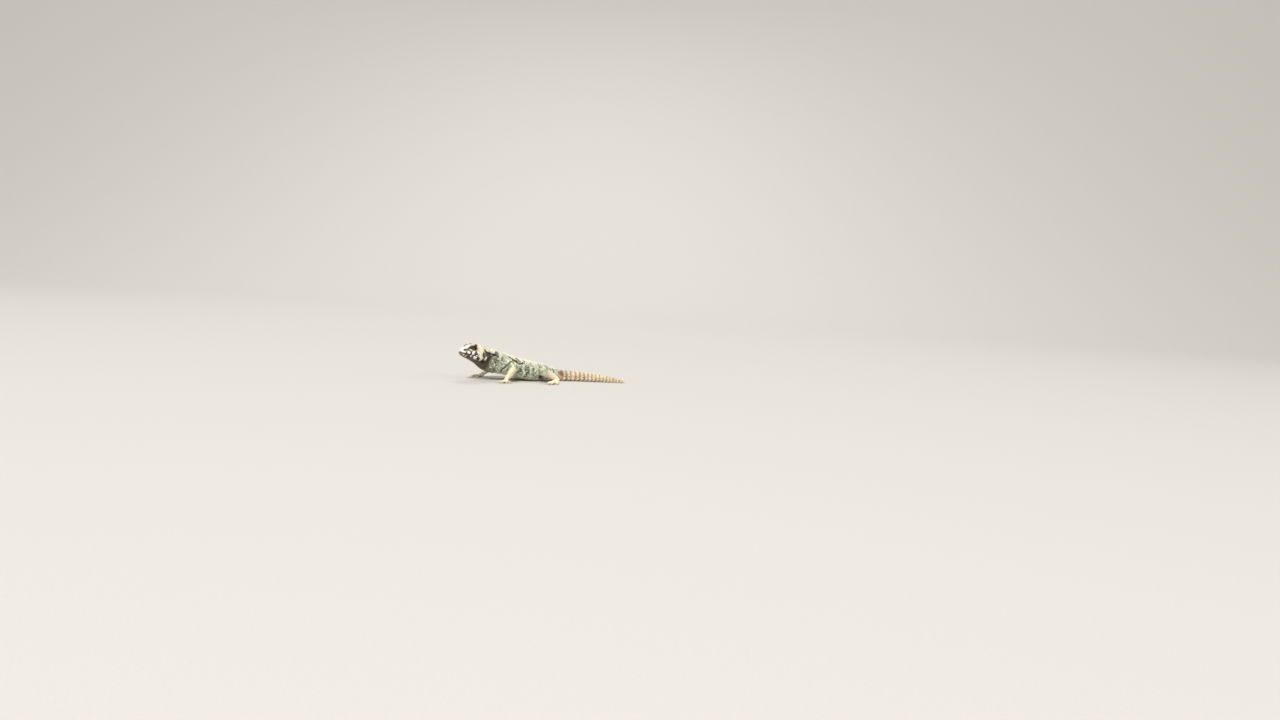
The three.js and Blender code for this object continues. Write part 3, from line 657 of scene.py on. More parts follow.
def open_lids(head):
    """Draws the skin inside each lid opening back behind the eyeball, with its rim on a clean curve."""
    along, up, out, share = eye_place(head)
    near = out > 1.5
    side = np.where(head[:, 1] < 0, -1.0, 1.0)
    rim = near & (np.abs(share - 1) < 0.1)
    inside = near & (share <= 0.9)
    away = np.sqrt(along ** 2 + up ** 2 + out ** 2)
    pull = np.where(rim, 1 / np.maximum(share, 1e-6), 1.0)
    back = np.where(inside, (EYE_RADIUS - LID_BEHIND) / np.maximum(away, 1e-6), 1.0)
    along, up, out = along * pull * back, up * pull * back, out * back
    moved = EYE + along[:, None] * SLIT + up[:, None] * LID_UP + out[:, None] * EYE_OUT
    moved[:, 1] *= side
    return np.where((rim | inside)[:, None], moved, head)


# Folds across the throat: how deep, distance behind the snout, how wide, and how much they wander
THROAT_FOLDS = [(0.8, 55.5, 1.2, 1.0), (0.4, 46.5, 0.9, 0.6)]
FLANK_CREASES = {"step": 6.4, "depth": 0.17, "sunk": 0.1}
CREASE_RIDGES = [(0.45, 2.4, 1.3), (-0.9, 0.0, 0.85)]
BELLY_SEAM = {"height": 7.5, "waver": 2.0, "depth": 0.5, "width": 1.0}


def folds(points):
    """Slack skin: folds across the throat and before each leg, and fine creases along the flanks."""
    s, out, z = body_coords(points)
    angle, reach = around_body(s, out, z)
    low = 0.5 - 0.5 * np.sin(angle)
    on_body = smooth(1.5, 1.15, reach)
    wander = 1.6 * np.sin(angle * 3.1) + 0.9 * np.sin(angle * 7.3 + 1)
    rise = np.zeros(len(points))
    for depth, at, width, share in THROAT_FOLDS:
        rise -= depth * bell(s - at - share * wander, width) * low * on_body
    flank = bell(np.sin(angle) + 0.25, 0.5) * on_body * smooth(74, 84, s) * smooth(136, 128, s)
    bent = s + 2.2 * np.sin(angle * 2.3) + 1.3 * np.sin(0.21 * s)
    ripple = np.sin(TURN * bent / FLANK_CREASES["step"])
    rise += flank * (FLANK_CREASES["depth"] * ripple - FLANK_CREASES["sunk"])
    behind, beside = behind_crease(s, angle)
    rise += ridges(behind, CREASE_RIDGES) * beside * smooth(1.4, 1.2, reach)
    seam = z - (BELLY_SEAM["height"] + BELLY_SEAM["waver"] * np.sin(0.11 * s))
    sunk = BELLY_SEAM["depth"] * bell(seam, BELLY_SEAM["width"])
    return rise - sunk * smooth(78, 88, s) * smooth(134, 126, s) * (np.abs(out) > 8) * on_body


def leg_places(points):
    """The nearest leg of each point: which one, the share along it, and the distance in radii."""
    best = np.full(len(points), 1e9)
    which, share = np.zeros(len(points), int), np.zeros(len(points))
    along = np.linspace(0, 1, 60)
    for k, leg in enumerate(LEGS):
        centres = leg["curve"](along)[0]
        away = (points ** 2).sum(1)[:, None] - 2 * points @ centres.T + (centres ** 2).sum(1)
        near = away.argmin(1)
        at = along[near]
        radii = np.sqrt(np.maximum(away.min(1), 0)) / read(leg["radii"], at)[:, 0]
        nearer = radii < best
        best[nearer], which[nearer], share[nearer] = radii[nearer], k, at[nearer]
    return which, share, best


def soften(bm, verts, times):
    for _ in range(times):
        bmesh.ops.smooth_vert(
            bm, verts=verts, factor=0.5, use_axis_x=True, use_axis_y=True, use_axis_z=True
        )


def picked(verts, wanted):
    return [v for v, yes in zip(verts, wanted) if yes]


def make_skin():
    """All parts of the flesh and the lids' balls as one surface, softened, refined and detailed."""
    shapes = [shape(around, along, place) for _, around, along, place in PARTS]
    for side in (1, -1):
        ball = ellipsoid(EYE * (1, side, 1), np.array(LID["radii"]) - COAT / 2)
        shapes.append(shape(40, 40, lambda share, angle, ball=ball: from_head(ball(share, angle))))
    rough = add_object("skin_rough", joined(shapes))
    remesh = rough.modifiers.new("join", "REMESH")
    remesh.mode = "VOXEL"
    remesh.voxel_size = VOXEL
    shown = rough.evaluated_get(bpy.context.evaluated_depsgraph_get())
    bm = bmesh.new()
    bm.from_mesh(shown.to_mesh())
    bpy.data.objects.remove(rough)

    soften(bm, bm.verts[:], SOFTENED["all"])
    points = places(bm.verts)
    _, share, radii = leg_places(points)
    leg_join = (share < LEG_JOIN["share"]) & (radii < LEG_JOIN["radii"])
    u, side, _ = one_side(to_head(points)).T
    head_join = (u > HEAD_JOIN["from"]) & (u < HEAD_JOIN["to"]) & (side < HEAD_JOIN["side"])
    joins = leg_join | (head_join & (radii > HEAD_JOIN["off legs"]))
    soften(bm, picked(bm.verts, joins), SOFTENED["joins"])

    for wanted in (lambda head: head[:, 0] < NEAR_HEAD, detail):
        kept = set(picked(bm.verts, wanted(to_head(places(bm.verts)))))
        edges = [e for e in bm.edges if e.verts[0] in kept and e.verts[1] in kept]
        bmesh.ops.subdivide_edges(bm, edges=edges, cuts=1, use_grid_fill=True)
        soften(bm, picked(bm.verts, wanted(to_head(places(bm.verts)))), SOFTENED["finer"])

    bm.normal_update()
    verts = bm.verts[:]
    points, outward = places(verts), normals(verts)
    head = to_head(points)
    on_head = head[:, 0] < NEAR_HEAD + 2
    rise = folds(points)
    rise[on_head] += head_relief(head[on_head])
    points = points + outward * rise[:, None]
    points[on_head] = from_head(open_lids(to_head(points[on_head])))
    points[:, 2] = np.maximum(points[:, 2], FLOOR_CLEAR)
    move(verts, points)
    bmesh.ops.recalc_face_normals(bm, faces=bm.faces[:])
    bm.normal_update()
    return bm


# Markings, the same for the skin and the scales on it

def linear(tone):
    return np.where(tone <= 0.04045, tone / 12.92, ((tone + 0.055) / 1.055) ** 2.4)


def seen(red, green, blue):
    """A colour as seen on a screen, from 0 to 1, in which the markings are mixed."""
    return np.array([red, green, blue]) / 255


def colour(red, green, blue):
    return linear(seen(red, green, blue))


WHITE = seen(255, 252, 244)
CREAM = seen(250, 243, 212)
IVORY = seen(242, 231, 208)
BEIGE = seen(222, 206, 180)
TAUPE = seen(158, 142, 120)
UMBER = seen(96, 82, 64)
OLIVE = seen(86, 82, 60)
DARK = seen(28, 25, 19)
SAGE = seen(152, 160, 132)
GREEN = seen(106, 124, 94)
MINT = seen(216, 223, 198)
LIME = seen(232, 235, 194)
BELLY = seen(228, 222, 194)
PEACH = seen(240, 206, 172)
STRAW = seen(250, 228, 186)
HORN = seen(254, 238, 208)
RANDOM = np.random.default_rng(NOISE_SEED).random(8192)
HASH_FACTORS = (73856093, 19349663, 83492791)


def hashed(cell, salt):
    """A settled random number for each whole-numbered cell."""
    cell = cell.astype(np.int64)
    mixed = salt * 7919
    for k in range(cell.shape[-1]):
        mixed = mixed + cell[..., k] * HASH_FACTORS[k]
    return RANDOM[(mixed ^ (mixed >> 11)) % len(RANDOM)]


def noise(points, size, salt=0):
    """Smooth noise from 0 to 1 with features of the given size."""
    at = points / size
    low = np.floor(at)
    t = at - low
    t = t * t * (3 - 2 * t)
    total = np.zeros(len(points))
    for corner in np.ndindex(*(2,) * at.shape[1]):
        weight = np.prod(np.where(corner, t, 1 - t), axis=1)
        total += weight * hashed(low + corner, salt)
    return total


def cells(flat, size, salt=0):
    """Scattered cells of a plane: each place's distance to the middle of its cell, and the cell's number."""
    at = flat / size
    low = np.floor(at)
    first, number = np.full(len(at), 9.0), np.zeros(len(at))
    for dx in (-1, 0, 1):
        for dy in (-1, 0, 1):
            cell = low + (dx, dy)
            middle = cell + 0.5 + 0.76 * (np.stack([hashed(cell, salt + 1), hashed(cell, salt + 2)], 1) - 0.5)
            away = np.linalg.norm(at - middle, axis=1)
            nearer = away < first
            number = np.where(nearer, hashed(cell, salt + 3), number)
            first = np.where(nearer, away, first)
    return first * size, number


def mix(a, b, share):
    return a + (b - a) * np.clip(share, 0, 1)[..., None]


def near_line(u, w, line):
    """The distance of places on the head's side from a bent line."""
    best = np.full(len(u), 99.0)
    for (a, b), (c, d) in zip(line[:-1], line[1:]):
        t = np.clip(((u - a) * (c - a) + (w - b) * (d - b)) / ((c - a) ** 2 + (d - b) ** 2), 0, 1)
        best = np.minimum(best, np.hypot(u - a - t * (c - a), w - b - t * (d - b)))
    return best


def blotches(u, w, ovals, ragged):
    """How far places of a side lie inside any of the leaning ovals: centre, radii and lean."""
    inside = np.zeros(len(u))
    for at, radii, lean in ovals:
        c, s = math.cos(lean * DEGREE), math.sin(lean * DEGREE)
        back, up = u - at[0], w - at[1]
        away = np.hypot((c * back - s * up) / radii[0], (s * back + c * up) / radii[1])
        inside = np.maximum(inside, smooth(1.25, 0.85, away + ragged))
    return inside


# Markings of the face: distance behind the snout and height, two radii, and degrees leaning back
PALE_BLOTCHES = [
    ((8.3, 0.3), (1.7, 1.8), 10), ((14.1, 0.7), (1.6, 3.1), 26), ((16.9, -4.4), (2.0, 2.7), 8),
    ((11.5, -3.5), (1.2, 1.4), 0), ((3.2, -3.3), (0.8, 0.7), 0), ((6.6, -4.7), (0.9, 0.9), 0),
    ((29.9, -4.2), (1.3, 2.8), 34), ((18.8, 1.8), (0.9, 1.8), 20), ((24.4, -6.4), (1.0, 1.3), 0),
    ((32.7, 6.4), (2.2, 1.0), 0),
]
DARK_BLOTCHES = [
    ((11.0, -0.6), (0.8, 2.1), 8), ((16.9, -0.6), (0.8, 2.4), 40), ((9.3, -4.9), (1.2, 1.3), 0),
    ((20.4, -5.6), (1.5, 2.4), -14), ((26.2, 0.6), (0.9, 2.6), 0), ((5.6, -1.9), (2.2, 0.7), 80),
    # The last blotch lies on the nostril: painted shade in its pit
    ((27.2, -8.0), (3.4, 2.2), 0), ((3.6, 2.2), (1.3, 1.1), 0),
]
CREAM_BAND = [(23.2, 9.0), (23.0, 3.0), (22.6, -3.0)]
EYE_BAND = [(3.6, 2.3), (8.0, 4.4), (10.8, 6.6), (14.4, 8.6), (16.9, 10.6)]
NECK_BAND = [(28.0, 6.6), (30.6, 3.6), (35.0, 3.0), (40.6, 4.2), (46.0, 3.4)]


def wider(ovals, by):
    """The same ovals, each wider by a rim."""
    return [(centre, (a + by, b + by), lean) for centre, (a, b), lean in ovals]


def head_markings(head):
    """White snout, cream bands, dark loops through the eye and down the cheeks, and barred lips."""
    u, side, w = one_side(head).T
    rough = noise(head, 1.7, 17) - 0.5
    at = u + 1.3 * (noise(head, 5.0, 5) - 0.5)
    up = w + 1.3 * (noise(head, 5.0, 6) - 0.5)
    flank = smooth(3.0, 5.0, side)
    top = smooth(6.5, 9.0, w) * smooth(5, 12, u)

    rgb = mix(WHITE, IVORY, smooth(6, 12, u))
    rgb = mix(rgb, BEIGE, smooth(15, 20, u) * 0.8)
    rgb = mix(rgb, mix(BEIGE, IVORY, noise(head, 2.6, 9)), top)
    rgb = mix(rgb, TAUPE, 0.7 * top * smooth(0.58, 0.72, noise(head, 3.0, 10)))
    rear = smooth(24.5, 27.5, at) * smooth(4.6, 1.4, up)
    rgb = mix(rgb, mix(UMBER, OLIVE, noise(head, 4.0, 11)) * 0.92, rear * 0.97)
    # Lighter blotches in the dark rear of the head, painted as highlights
    rgb = mix(rgb, TAUPE, rear * 0.55 * smooth(0.6, 0.75, noise(head, 2.2, 13)))
    cheek = smooth(5, 9, u) * smooth(21, 17, u) * smooth(3.6, 1.5, up)
    rgb = mix(rgb, mix(TAUPE, UMBER, 0.5), cheek * 0.85)
    lips = smooth(-0.9, -1.9, up) * smooth(19, 13, u)
    rgb = mix(rgb, mix(TAUPE, UMBER, noise(head, 2.2, 12)), lips * 0.95)
    # Darker throat under the head: partly its olive-brown colour, partly painted shade on the underside
    throat = smooth(-5.4, -7.0, up + 0.12 * (u - 8))
    rgb = mix(rgb, mix(mix(TAUPE, UMBER, 0.5), OLIVE, smooth(9, 17, u)), throat * 0.95)
    rgb = mix(rgb, TAUPE, throat * 0.5 * smooth(0.55, 0.7, noise(head, 2.6, 19)))

    band = near_line(at, up, CREAM_BAND) + 1.5 * rough
    rgb = mix(rgb, CREAM, flank * smooth(2.2, 1.2, band) * 0.95)
    rim = blotches(at, up, wider(PALE_BLOTCHES[:4], 0.9), rough * 0.7)
    rgb = mix(rgb, UMBER, flank * rim * 0.8)
    rgb = mix(rgb, WHITE, flank * blotches(at, up, PALE_BLOTCHES, rough * 0.7))
    torn = 0.8 * rough + 0.9 * (noise(head, 3.2, 14) - 0.5)
    ink = mix(DARK, UMBER, 0.6 * smooth(0.4, 0.8, noise(head, 1.3, 15)))
    rgb = mix(rgb, ink, flank * blotches(at, up, DARK_BLOTCHES, torn) * 0.95)
    behind = near_line(at, up, NECK_BAND) + 1.6 * (noise(head, 2.4, 18) - 0.5)
    rgb = mix(rgb, ink, flank * smooth(1.9, 0.7, behind) * 0.9)

    _, _, out, share = eye_place(head)
    lids = (out > 0) * smooth(1.8, 1.45, share)
    rgb = mix(rgb, mix(TAUPE, UMBER, smooth(5.4, 7.8, w)), lids * 0.9)
    rgb = mix(rgb, DARK, (out > 0) * smooth(1.25, 1.08, share) * 0.9)
    band = near_line(u, w, EYE_BAND) + 0.9 * rough
    rgb = mix(rgb, DARK, smooth(1.4, 0.8, band) * smooth(2.4, 3.6, side) * (0.6 + 0.35 * smooth(8, 11.5, u)))
    # Painted shade inside each ear opening
    rgb = mix(rgb, DARK, smooth(1.16, 0.9, ear_share(head)) * (side > EAR_SIDE) * 0.95)
    # Painted shade along the groove of the mouth
    mouth = smooth(0.5, 0.15, np.abs(w - lip_height(u))) * smooth(MOUTH_CORNER + 1, MOUTH_CORNER, u)
    return mix(rgb, DARK, mouth * 0.85)


# Blotches of the upper flank and the neck: distance behind the snout and millimetres above the side
FLANK_BLOTCHES = [((83, 13), (5.0, 1.8), 14), ((93, 12), (4.5, 2.2), -20), ((75, 16.5), (3, 1.3), 36)]
NECK_SPOTS = [
    ((46, -8.4), (1.3, 1.1), 0), ((50, -1.8), (1.5, 1.3), 20), ((54.4, -9.8), (1.4, 1.0), 0),
    ((56, 8), (1.2, 0.8), 0), ((50.4, -6), (0.9, 0.8), 0), ((53.6, -4.2), (1.0, 0.7), 0),
    ((57.6, -6.6), (0.8, 1.2), 0), ((47, 3.6), (0.8, 1.0), 0),
]
GIRTH = 0.35  # millimetres round the neck and trunk for each degree


def trunk_markings(points, s, angle):
    """Green flanks with pale and dark blotches, cream rows across the back, and a dark dotted neck."""
    up = np.sin(angle)
    above = np.degrees(np.arctan2(up, np.abs(np.cos(angle)))) * GIRTH
    wander = 3.0 * (np.stack([noise(points, 7.0, 31), noise(points, 7.0, 32)], 1) - 0.5)
    flat = np.stack([s, (above - 90 * GIRTH) * np.where(np.cos(angle) < 0, -1, 1)], 1) + wander
    at, high = s + 0.4 * wander[:, 0], above + 0.4 * wander[:, 1]
    rough = noise(points, 1.7, 41) - 0.5
    flank = smooth(0.95, 0.6, up) * smooth(-0.8, -0.4, up)
    belly = smooth(-0.45, -0.85, up)
    neck = smooth(60, 50, s + 2 * wander[:, 1])
    low_neck = neck * smooth(0.62, 0.3, up)

    # The back is paler than the flanks: partly its cream colour, partly a painted highlight on the top
    back = smooth(0.5, 0.95, up + 0.4 * (noise(points, 8.5, 33) - 0.5))
    rgb = mix(MINT, IVORY, back * (0.6 + 0.35 * neck))
    shoulder = smooth(55, 60, s) * smooth(82, 74, s)
    green = flank * smooth(0.35, 0.6, noise(points, 7.5, 34)) * (1 - neck)
    rgb = mix(rgb, mix(SAGE, GREEN, noise(points, 4.0, 35)), green * (0.8 - 0.3 * shoulder))
    row = 0.5 + 0.5 * np.cos(TURN * (flat[:, 0] - 57.5) / 12.4)
    bars = smooth(0.6, 0.88, row) * smooth(52, 55, s)
    rgb = mix(rgb, mix(MINT, WHITE, 0.3), flank * bars * 0.8)
    rgb = mix(rgb, BELLY, belly * 0.85)
    rgb = mix(rgb, mix(OLIVE, GREEN, 0.4 * noise(points, 5.0, 36)), low_neck * 0.85)

    twisted = 0.62 * noise(flat * (1.0, 0.6), 3.4, 37) + 0.38 * noise(points, 1.9, 38)
    marks = smooth(0.555, 0.655, twisted) * (0.25 + 0.65 * flank) * (1 - 0.75 * bars) * (1 - 0.9 * belly)
    ink = mix(DARK, UMBER, smooth(0.3, 0.8, noise(points, 1.6, 45)))
    rgb = mix(rgb, ink, marks * smooth(162, 146, s) * (0.92 - 0.55 * shoulder))
    middle, number = cells(flat, 4.2, 40)
    chosen = number > 0.3 + 0.35 * (1 - bars) * (1 - neck)
    spots = smooth(1.7, 1.1, middle + rough) * chosen * (1 - belly) * smooth(158, 140, s)
    rgb = mix(rgb, WHITE, spots * (0.2 + 0.5 * flank) * (1 - low_neck))
    dots = smooth(0.95, 0.6, cells(flat, 2.3, 44)[0] + 0.4 * rough)
    rgb = mix(rgb, mix(MINT, WHITE, 0.4), dots * low_neck * smooth(-0.98, -0.8, up) * 0.75)
    rings = smooth(0.5, 0.8, row) * (1 - flank) * (1 - belly) * smooth(66, 74, s) * smooth(150, 140, s)
    rgb = mix(rgb, CREAM, rings * smooth(2.2, 1.4, middle) * 0.9)
    patches = smooth(0.56, 0.66, noise(flat, 4.6, 39)) * neck * smooth(0.95, 0.8, up) * smooth(0.15, 0.35, up)
    rgb = mix(rgb, DARK, patches * 0.85)

    torn = rough + 1.8 * (noise(points, 3.2, 46) - 0.5)
    rgb = mix(rgb, WHITE, blotches(at, high, wider(FLANK_BLOTCHES, 1.3), torn) * 0.6)
    rgb = mix(rgb, ink, blotches(at, high, FLANK_BLOTCHES, torn) * 0.95)
    return mix(rgb, WHITE, blotches(at, high, NECK_SPOTS, rough * 0.8))


def tail_markings(points, s, angle):
    along = whorl_share(s)[1]
    rgb = mix(PEACH, STRAW, smooth(VENT_AT + 20, 232, s))
    rgb = mix(rgb, BELLY, smooth(-0.3, -0.8, np.sin(angle)) * 0.6)
    mottled = smooth(0.42, 0.6, noise(points, 4.2, 51))
    rgb = mix(rgb, TAUPE, mottled * (0.3 + 0.5 * smooth(178, 160, s)))
    rgb = mix(rgb, UMBER, 0.75 * smooth(0.5, 0.62, noise(points, 3.0, 52)) * smooth(176, 160, s))
    # Painted shade on the front of each whorl, under the spines of the whorl before it
    return mix(rgb, TAUPE, 0.8 * smooth(0.3, 0.05, along) * (s > FIRST_WHORL_AT))


def limb_markings(points, which, share):
    upper = smooth(0.5, 0.25, share)
    fore = mix(LIME, CREAM, smooth(0.3, 0.6, share))
    thigh = mix(MINT, IVORY, 0.6 * noise(points, 6.0, 63))
    hind = mix(thigh, mix(IVORY, PEACH, 0.25), smooth(0.36, 0.55, share))
    hind = mix(hind, CREAM, smooth(0.62, 0.8, share))
    rgb = np.where((which < 2)[:, None], fore, hind)
    mottle = smooth(0.5, 0.66, noise(points, 4.6, 61))
    rgb = mix(rgb, SAGE, mottle * (0.15 + 0.75 * upper) * smooth(0.7, 0.45, share))
    fine = smooth(0.6, 0.74, noise(points, 2.1, 62))
    return mix(rgb, OLIVE, fine * (0.12 + 0.4 * (which > 1)) * smooth(0.6, 0.3, share))


# The fold of skin before each foreleg: degrees above the side, and distance behind the snout
CREASE = ([-90, -26, 4, 28, 40], [61, 62.6, 66, 76, 84])


def behind_crease(s, angle):
    """How far a place of the body lies behind the fold before its foreleg, and how level with it."""
    above = np.degrees(np.arctan2(np.sin(angle), np.abs(np.cos(angle))))
    return s - np.interp(above, *CREASE), smooth(36, 28, above) * smooth(-62, -36, above)


def markings(points):
    """The colour of the skin at each place, in linear light."""
    s, out, z = body_coords(points)
    angle, reach = around_body(s, out, z)
    head = to_head(points)
    which, share, radii = leg_places(points)
    rgb = mix(trunk_markings(points, s, angle), tail_markings(points, s, angle), smooth(150, 161, s))
    waver = 3 * (noise(points, 3.0, 71) - 0.5)
    rgb = mix(rgb, head_markings(head), smooth(40 + waver, 34 + waver, head[:, 0]) * (z > 12))
    behind, beside = behind_crease(s, angle)
    hind = smooth(1.75, 1.2, radii) * smooth(0.1, 0.24, share) * (reach > 1.02)
    fore = smooth(2.0, 1.5, radii) * smooth(0.0, 1.0, behind) * (reach > 1.0)
    far_out = smooth(1.12, 1.3, reach) * (share > 0.5) * (z < 22)
    on_limb = np.maximum(np.where(which < 2, fore, hind), far_out)
    rgb = mix(rgb, limb_markings(points, which, share), on_limb)
    # Painted shade: a dark line in the fold of skin before each foreleg
    rgb = mix(rgb, DARK, bell(behind, 0.9) * beside * (reach < 1.25) * 0.92)
    wash = 0.94 + 0.12 * noise(points, 9.0, 72)
    return linear(np.clip(rgb * wash[:, None], 0, 1))


# Scales: rows of seeds round each part, spread evenly, each grown out to the borders of its neighbours

ROW_SHARE = 0.87  # how far apart two rows lie, in steps along a row
FLOW_STEP = 0.004


def seed_rows(place, spacing, jitter, share_from, share_to):
    """Seeds in rings along a part, each ring turned half a step from the last."""
    fine = np.linspace(share_from, share_to, 500)
    pace = np.zeros(len(fine))
    for quarter in range(4):
        line = place(fine, np.full(len(fine), quarter * math.pi / 2 + 0.4))
        pace[1:] += np.linalg.norm(np.diff(line, axis=0), axis=1) / 4
    rows = np.cumsum(pace / (ROW_SHARE * spacing(fine, np.full(len(fine), math.pi / 2))))
    count = max(3, int(rows[-1]))
    ring = np.linspace(-math.pi, math.pi, 241)
    found = []
    for row, share in enumerate(np.interp(np.linspace(0, rows[-1], count), rows, fine)):
        shares = np.full(len(ring), share)
        edge = place(shares, ring)
        lengths = np.linalg.norm(np.diff(edge, axis=0), axis=1)
        total = np.concatenate([[0], np.cumsum(lengths / spacing(shares[1:], ring[1:]))])
        n = int(round(total[-1]))
        if n < 3:
            continue
        at = (np.arange(n) + 0.5 * (row % 2) + jitter * chance.uniform(-0.5, 0.5, n)) * total[-1] / n
        angle = np.interp(at % total[-1], total, ring)
        wander = jitter * 0.5 / count * chance.uniform(-1, 1, n)
        found.append(np.stack([np.clip(share + wander, share_from, share_to), angle], 1))
    found = np.concatenate(found)
    shares, angles = found.T
    points = place(shares, angles)
    after = np.minimum(shares + FLOW_STEP, 1)
    flow = place(after, angles) - place(after - 2 * FLOW_STEP, angles)
    return points, unit(flow), spacing(shares, angles), found


def trunk_spacing(share, angle):
    s = TRUNK_FROM + share * (TRUNK_TO - TRUNK_FROM)
    back = 0.68 + 0.03 * smooth(48, 70, s)
    return back + 0.3 * smooth(-0.3, -0.75, np.sin(angle)) * smooth(45, 70, s)


def head_spacing(share, angle):
    return 0.98 + 0.3 * smooth(0.2, 0.8, np.sin(angle)) + 0.1 * smooth(0.3, 0.1, share)


def tail_spacing(share, angle):
    return 1.15 - 0.45 * smooth(0.5, 1.0, share) - 0.1 * np.sin(angle)


def leg_spacing(share, angle):
    return 1.02 - 0.14 * smooth(0.4, 0.9, share)


def palm_spacing(share, angle):
    return np.full_like(share, 0.8)


def toe_spacing(share, angle):
    return np.full_like(share, 0.72)


# Rows of scales on each kind of part: their spacing, how uneven they are, the shares of the part where
# they start and end, and the coat piece they go in
ROWS = {
    "head": (head_spacing, 0.4, 0.02, 0.86, "head"),
    "trunk": (trunk_spacing, 0.18, 0.01, 0.99, "trunk"),
    "tail": (tail_spacing, 0.1, 0.035, 0.993, "tail"),
    "leg": (leg_spacing, 0.18, 0.01, 0.99, "legs"),
    "palm": (palm_spacing, 0.18, 0.01, 0.99, "legs"),
    "toe": (toe_spacing, 0.18, 0.01, 0.99, "legs"),
}
LIP_SCALES = {"from": 0.9, "size": 1.1, "levels": [0.78, -0.82], "tall": 1.1}
# Rings of small scales on each lid: how wide the ring is, in shares of the opening, and their size
LID_SCALES = {"rings": [(1.13, 0.66), (1.42, 0.78)], "count": 30, "out": 4.5, "tall": 0.9}
EAR_SCALES = {"from": -3.2, "to": 3.3, "step": 0.9, "wide": 1.12, "long": 1.1, "size": 1.0, "tall": 3.2}


def lip_seeds(side, level_by):
    u = np.arange(LIP_SCALES["from"], MOUTH_CORNER, LIP_SCALES["size"])
    half, middle, up, down = skull_size(u)
    w = lip_height(u) + level_by
    steep = np.clip(np.abs((w - middle) / np.where(w > middle, up, down)), 0, 1)
    across = half * (1 - steep ** HEAD_SQUARENESS) ** (1 / HEAD_SQUARENESS)
    return np.stack([u, side * across, w], 1), LIP_SCALES["size"] * HEAD_SCALE, LIP_SCALES["tall"]


def lid_seeds(side, ring, size):
    half, tall = LID["open"]
    turn = np.linspace(0, TURN, LID_SCALES["count"], endpoint=False)
    below = np.where(np.sin(turn) > 0, 1, LOWER_LID_SHARE)
    rim = np.cos(turn)[:, None] * SLIT * half * ring
    rim = rim + (np.sin(turn) * below)[:, None] * LID_UP * tall * ring
    edge = EYE + rim + EYE_OUT * (LID_SCALES["out"] - 0.4 * (ring - 1))
    edge[:, 1] *= side
    return edge, size, LID_SCALES["tall"]


def ear_seeds(side):
    along = np.arange(EAR_SCALES["from"], EAR_SCALES["to"], EAR_SCALES["step"])
    arc = np.sqrt(1 - (along / (EAR["tall"] * EAR_SCALES["long"])) ** 2)
    across = -EAR["wide"] * EAR_SCALES["wide"] * arc
    c, s = math.cos(EAR["slant"]), math.sin(EAR["slant"])
    u, up = EAR["at"] + c * across + s * along, c * along - s * across
    edge = np.stack([u, side * skull_size(u)[0] * 0.99, EAR["up"] + up], 1)
    return edge, EAR_SCALES["size"], EAR_SCALES["tall"]


def marginal_seeds():
    """Seeds set one by one on the head: along both lips, round the lid openings and before the ears."""
    groups = []
    for side in (1, -1):
        groups += [lip_seeds(side, level_by) for level_by in LIP_SCALES["levels"]]
        groups += [lid_seeds(side, *ring) for ring in LID_SCALES["rings"]]
        groups.append(ear_seeds(side))
    points = from_head(np.concatenate([points for points, _, _ in groups]))
    counts = [len(points) for points, _, _ in groups]
    sizes, tall = (np.repeat([float(group[k]) for group in groups], counts) for k in (1, 2))
    return points, sizes, tall


# How far from each opening the scales end, in shares of the opening, and in mm at the mouth
KEPT_OPEN = {"lids": 1.02, "ear": 0.92, "nostril": 0.8, "mouth": 0.36}


def keep_open(points):
    """False inside the lid openings, the ear cups, the nostrils and the mouth's groove."""
    head = to_head(points)
    u, side, w = one_side(head).T
    _, _, out, share = eye_place(head)
    in_lids = (share < KEPT_OPEN["lids"]) & (out > 1.5)
    in_ear = (ear_share(head) < KEPT_OPEN["ear"]) & (side > EAR_SIDE)
    in_nostril = from_nostril(head) < KEPT_OPEN["nostril"]
    in_mouth = (np.abs(w - lip_height(u)) < KEPT_OPEN["mouth"]) & (u < MOUTH_CORNER)
    return ~((u < NEAR_HEAD) & (in_lids | in_ear | in_nostril | in_mouth))


def kind(name):
    return name.rstrip("0123456789")


def subset(seeds, kept):
    return {key: values[kept] for key, values in seeds.items()}


# Where the parts of a leg lie on the legs' flat layout: from where, and how wide
LEG_CHARTS = {"leg": (0.0, 0.66), "palm": (0.68, 0.1), "toe": (0.8, 0.2)}
BAND_FILL = 0.96  # how much of its band a part fills


def chart_of(name, shares):
    """A part's place on the flat layout of its coat piece: the legs and toes lie in bands."""
    share, turn = shares[:, 0], shares[:, 1] / TURN + 0.5
    if kind(name) not in LEG_CHARTS:
        return np.stack([share, turn], 1)
    start, width = LEG_CHARTS[kind(name)]
    leg = int(name[len(kind(name))])
    band = turn * BAND_FILL
    if kind(name) == "toe":
        band = (int(name[-1]) + band) / 5
    return np.stack([start + share * width, (leg + band) / 4], 1)


def nearest_on(tree, points):
    """The nearest places on a surface, its directions there and the distances."""
    found = [tree.find_nearest(p) for p in points]
    return (
        np.array([f[0] for f in found]), np.array([f[1] for f in found]), np.array([f[3] for f in found])
    )


def kd_tree(points):
    tree = KDTree(len(points))
    for i, p in enumerate(points):
        tree.insert(p, i)
    tree.balance()
    return tree


def thin_out(points, sizes, share):
    """Drops each seed that lies too near an earlier one."""
    tree = kd_tree(points)
    kept = np.ones(len(points), bool)
    for i, p in enumerate(points):
        if kept[i]:
            for _, j, _ in tree.find_range(p, sizes[i] * share):
                if j > i:
                    kept[j] = False
    return kept


SEED_REACH = 1.1  # how far from the skin a seed may start, in mm
# How near another seed a seed may lie, in shares of its size: as sown, and on bare skin
SEED_APART = 0.66
BARE_APART = 0.8


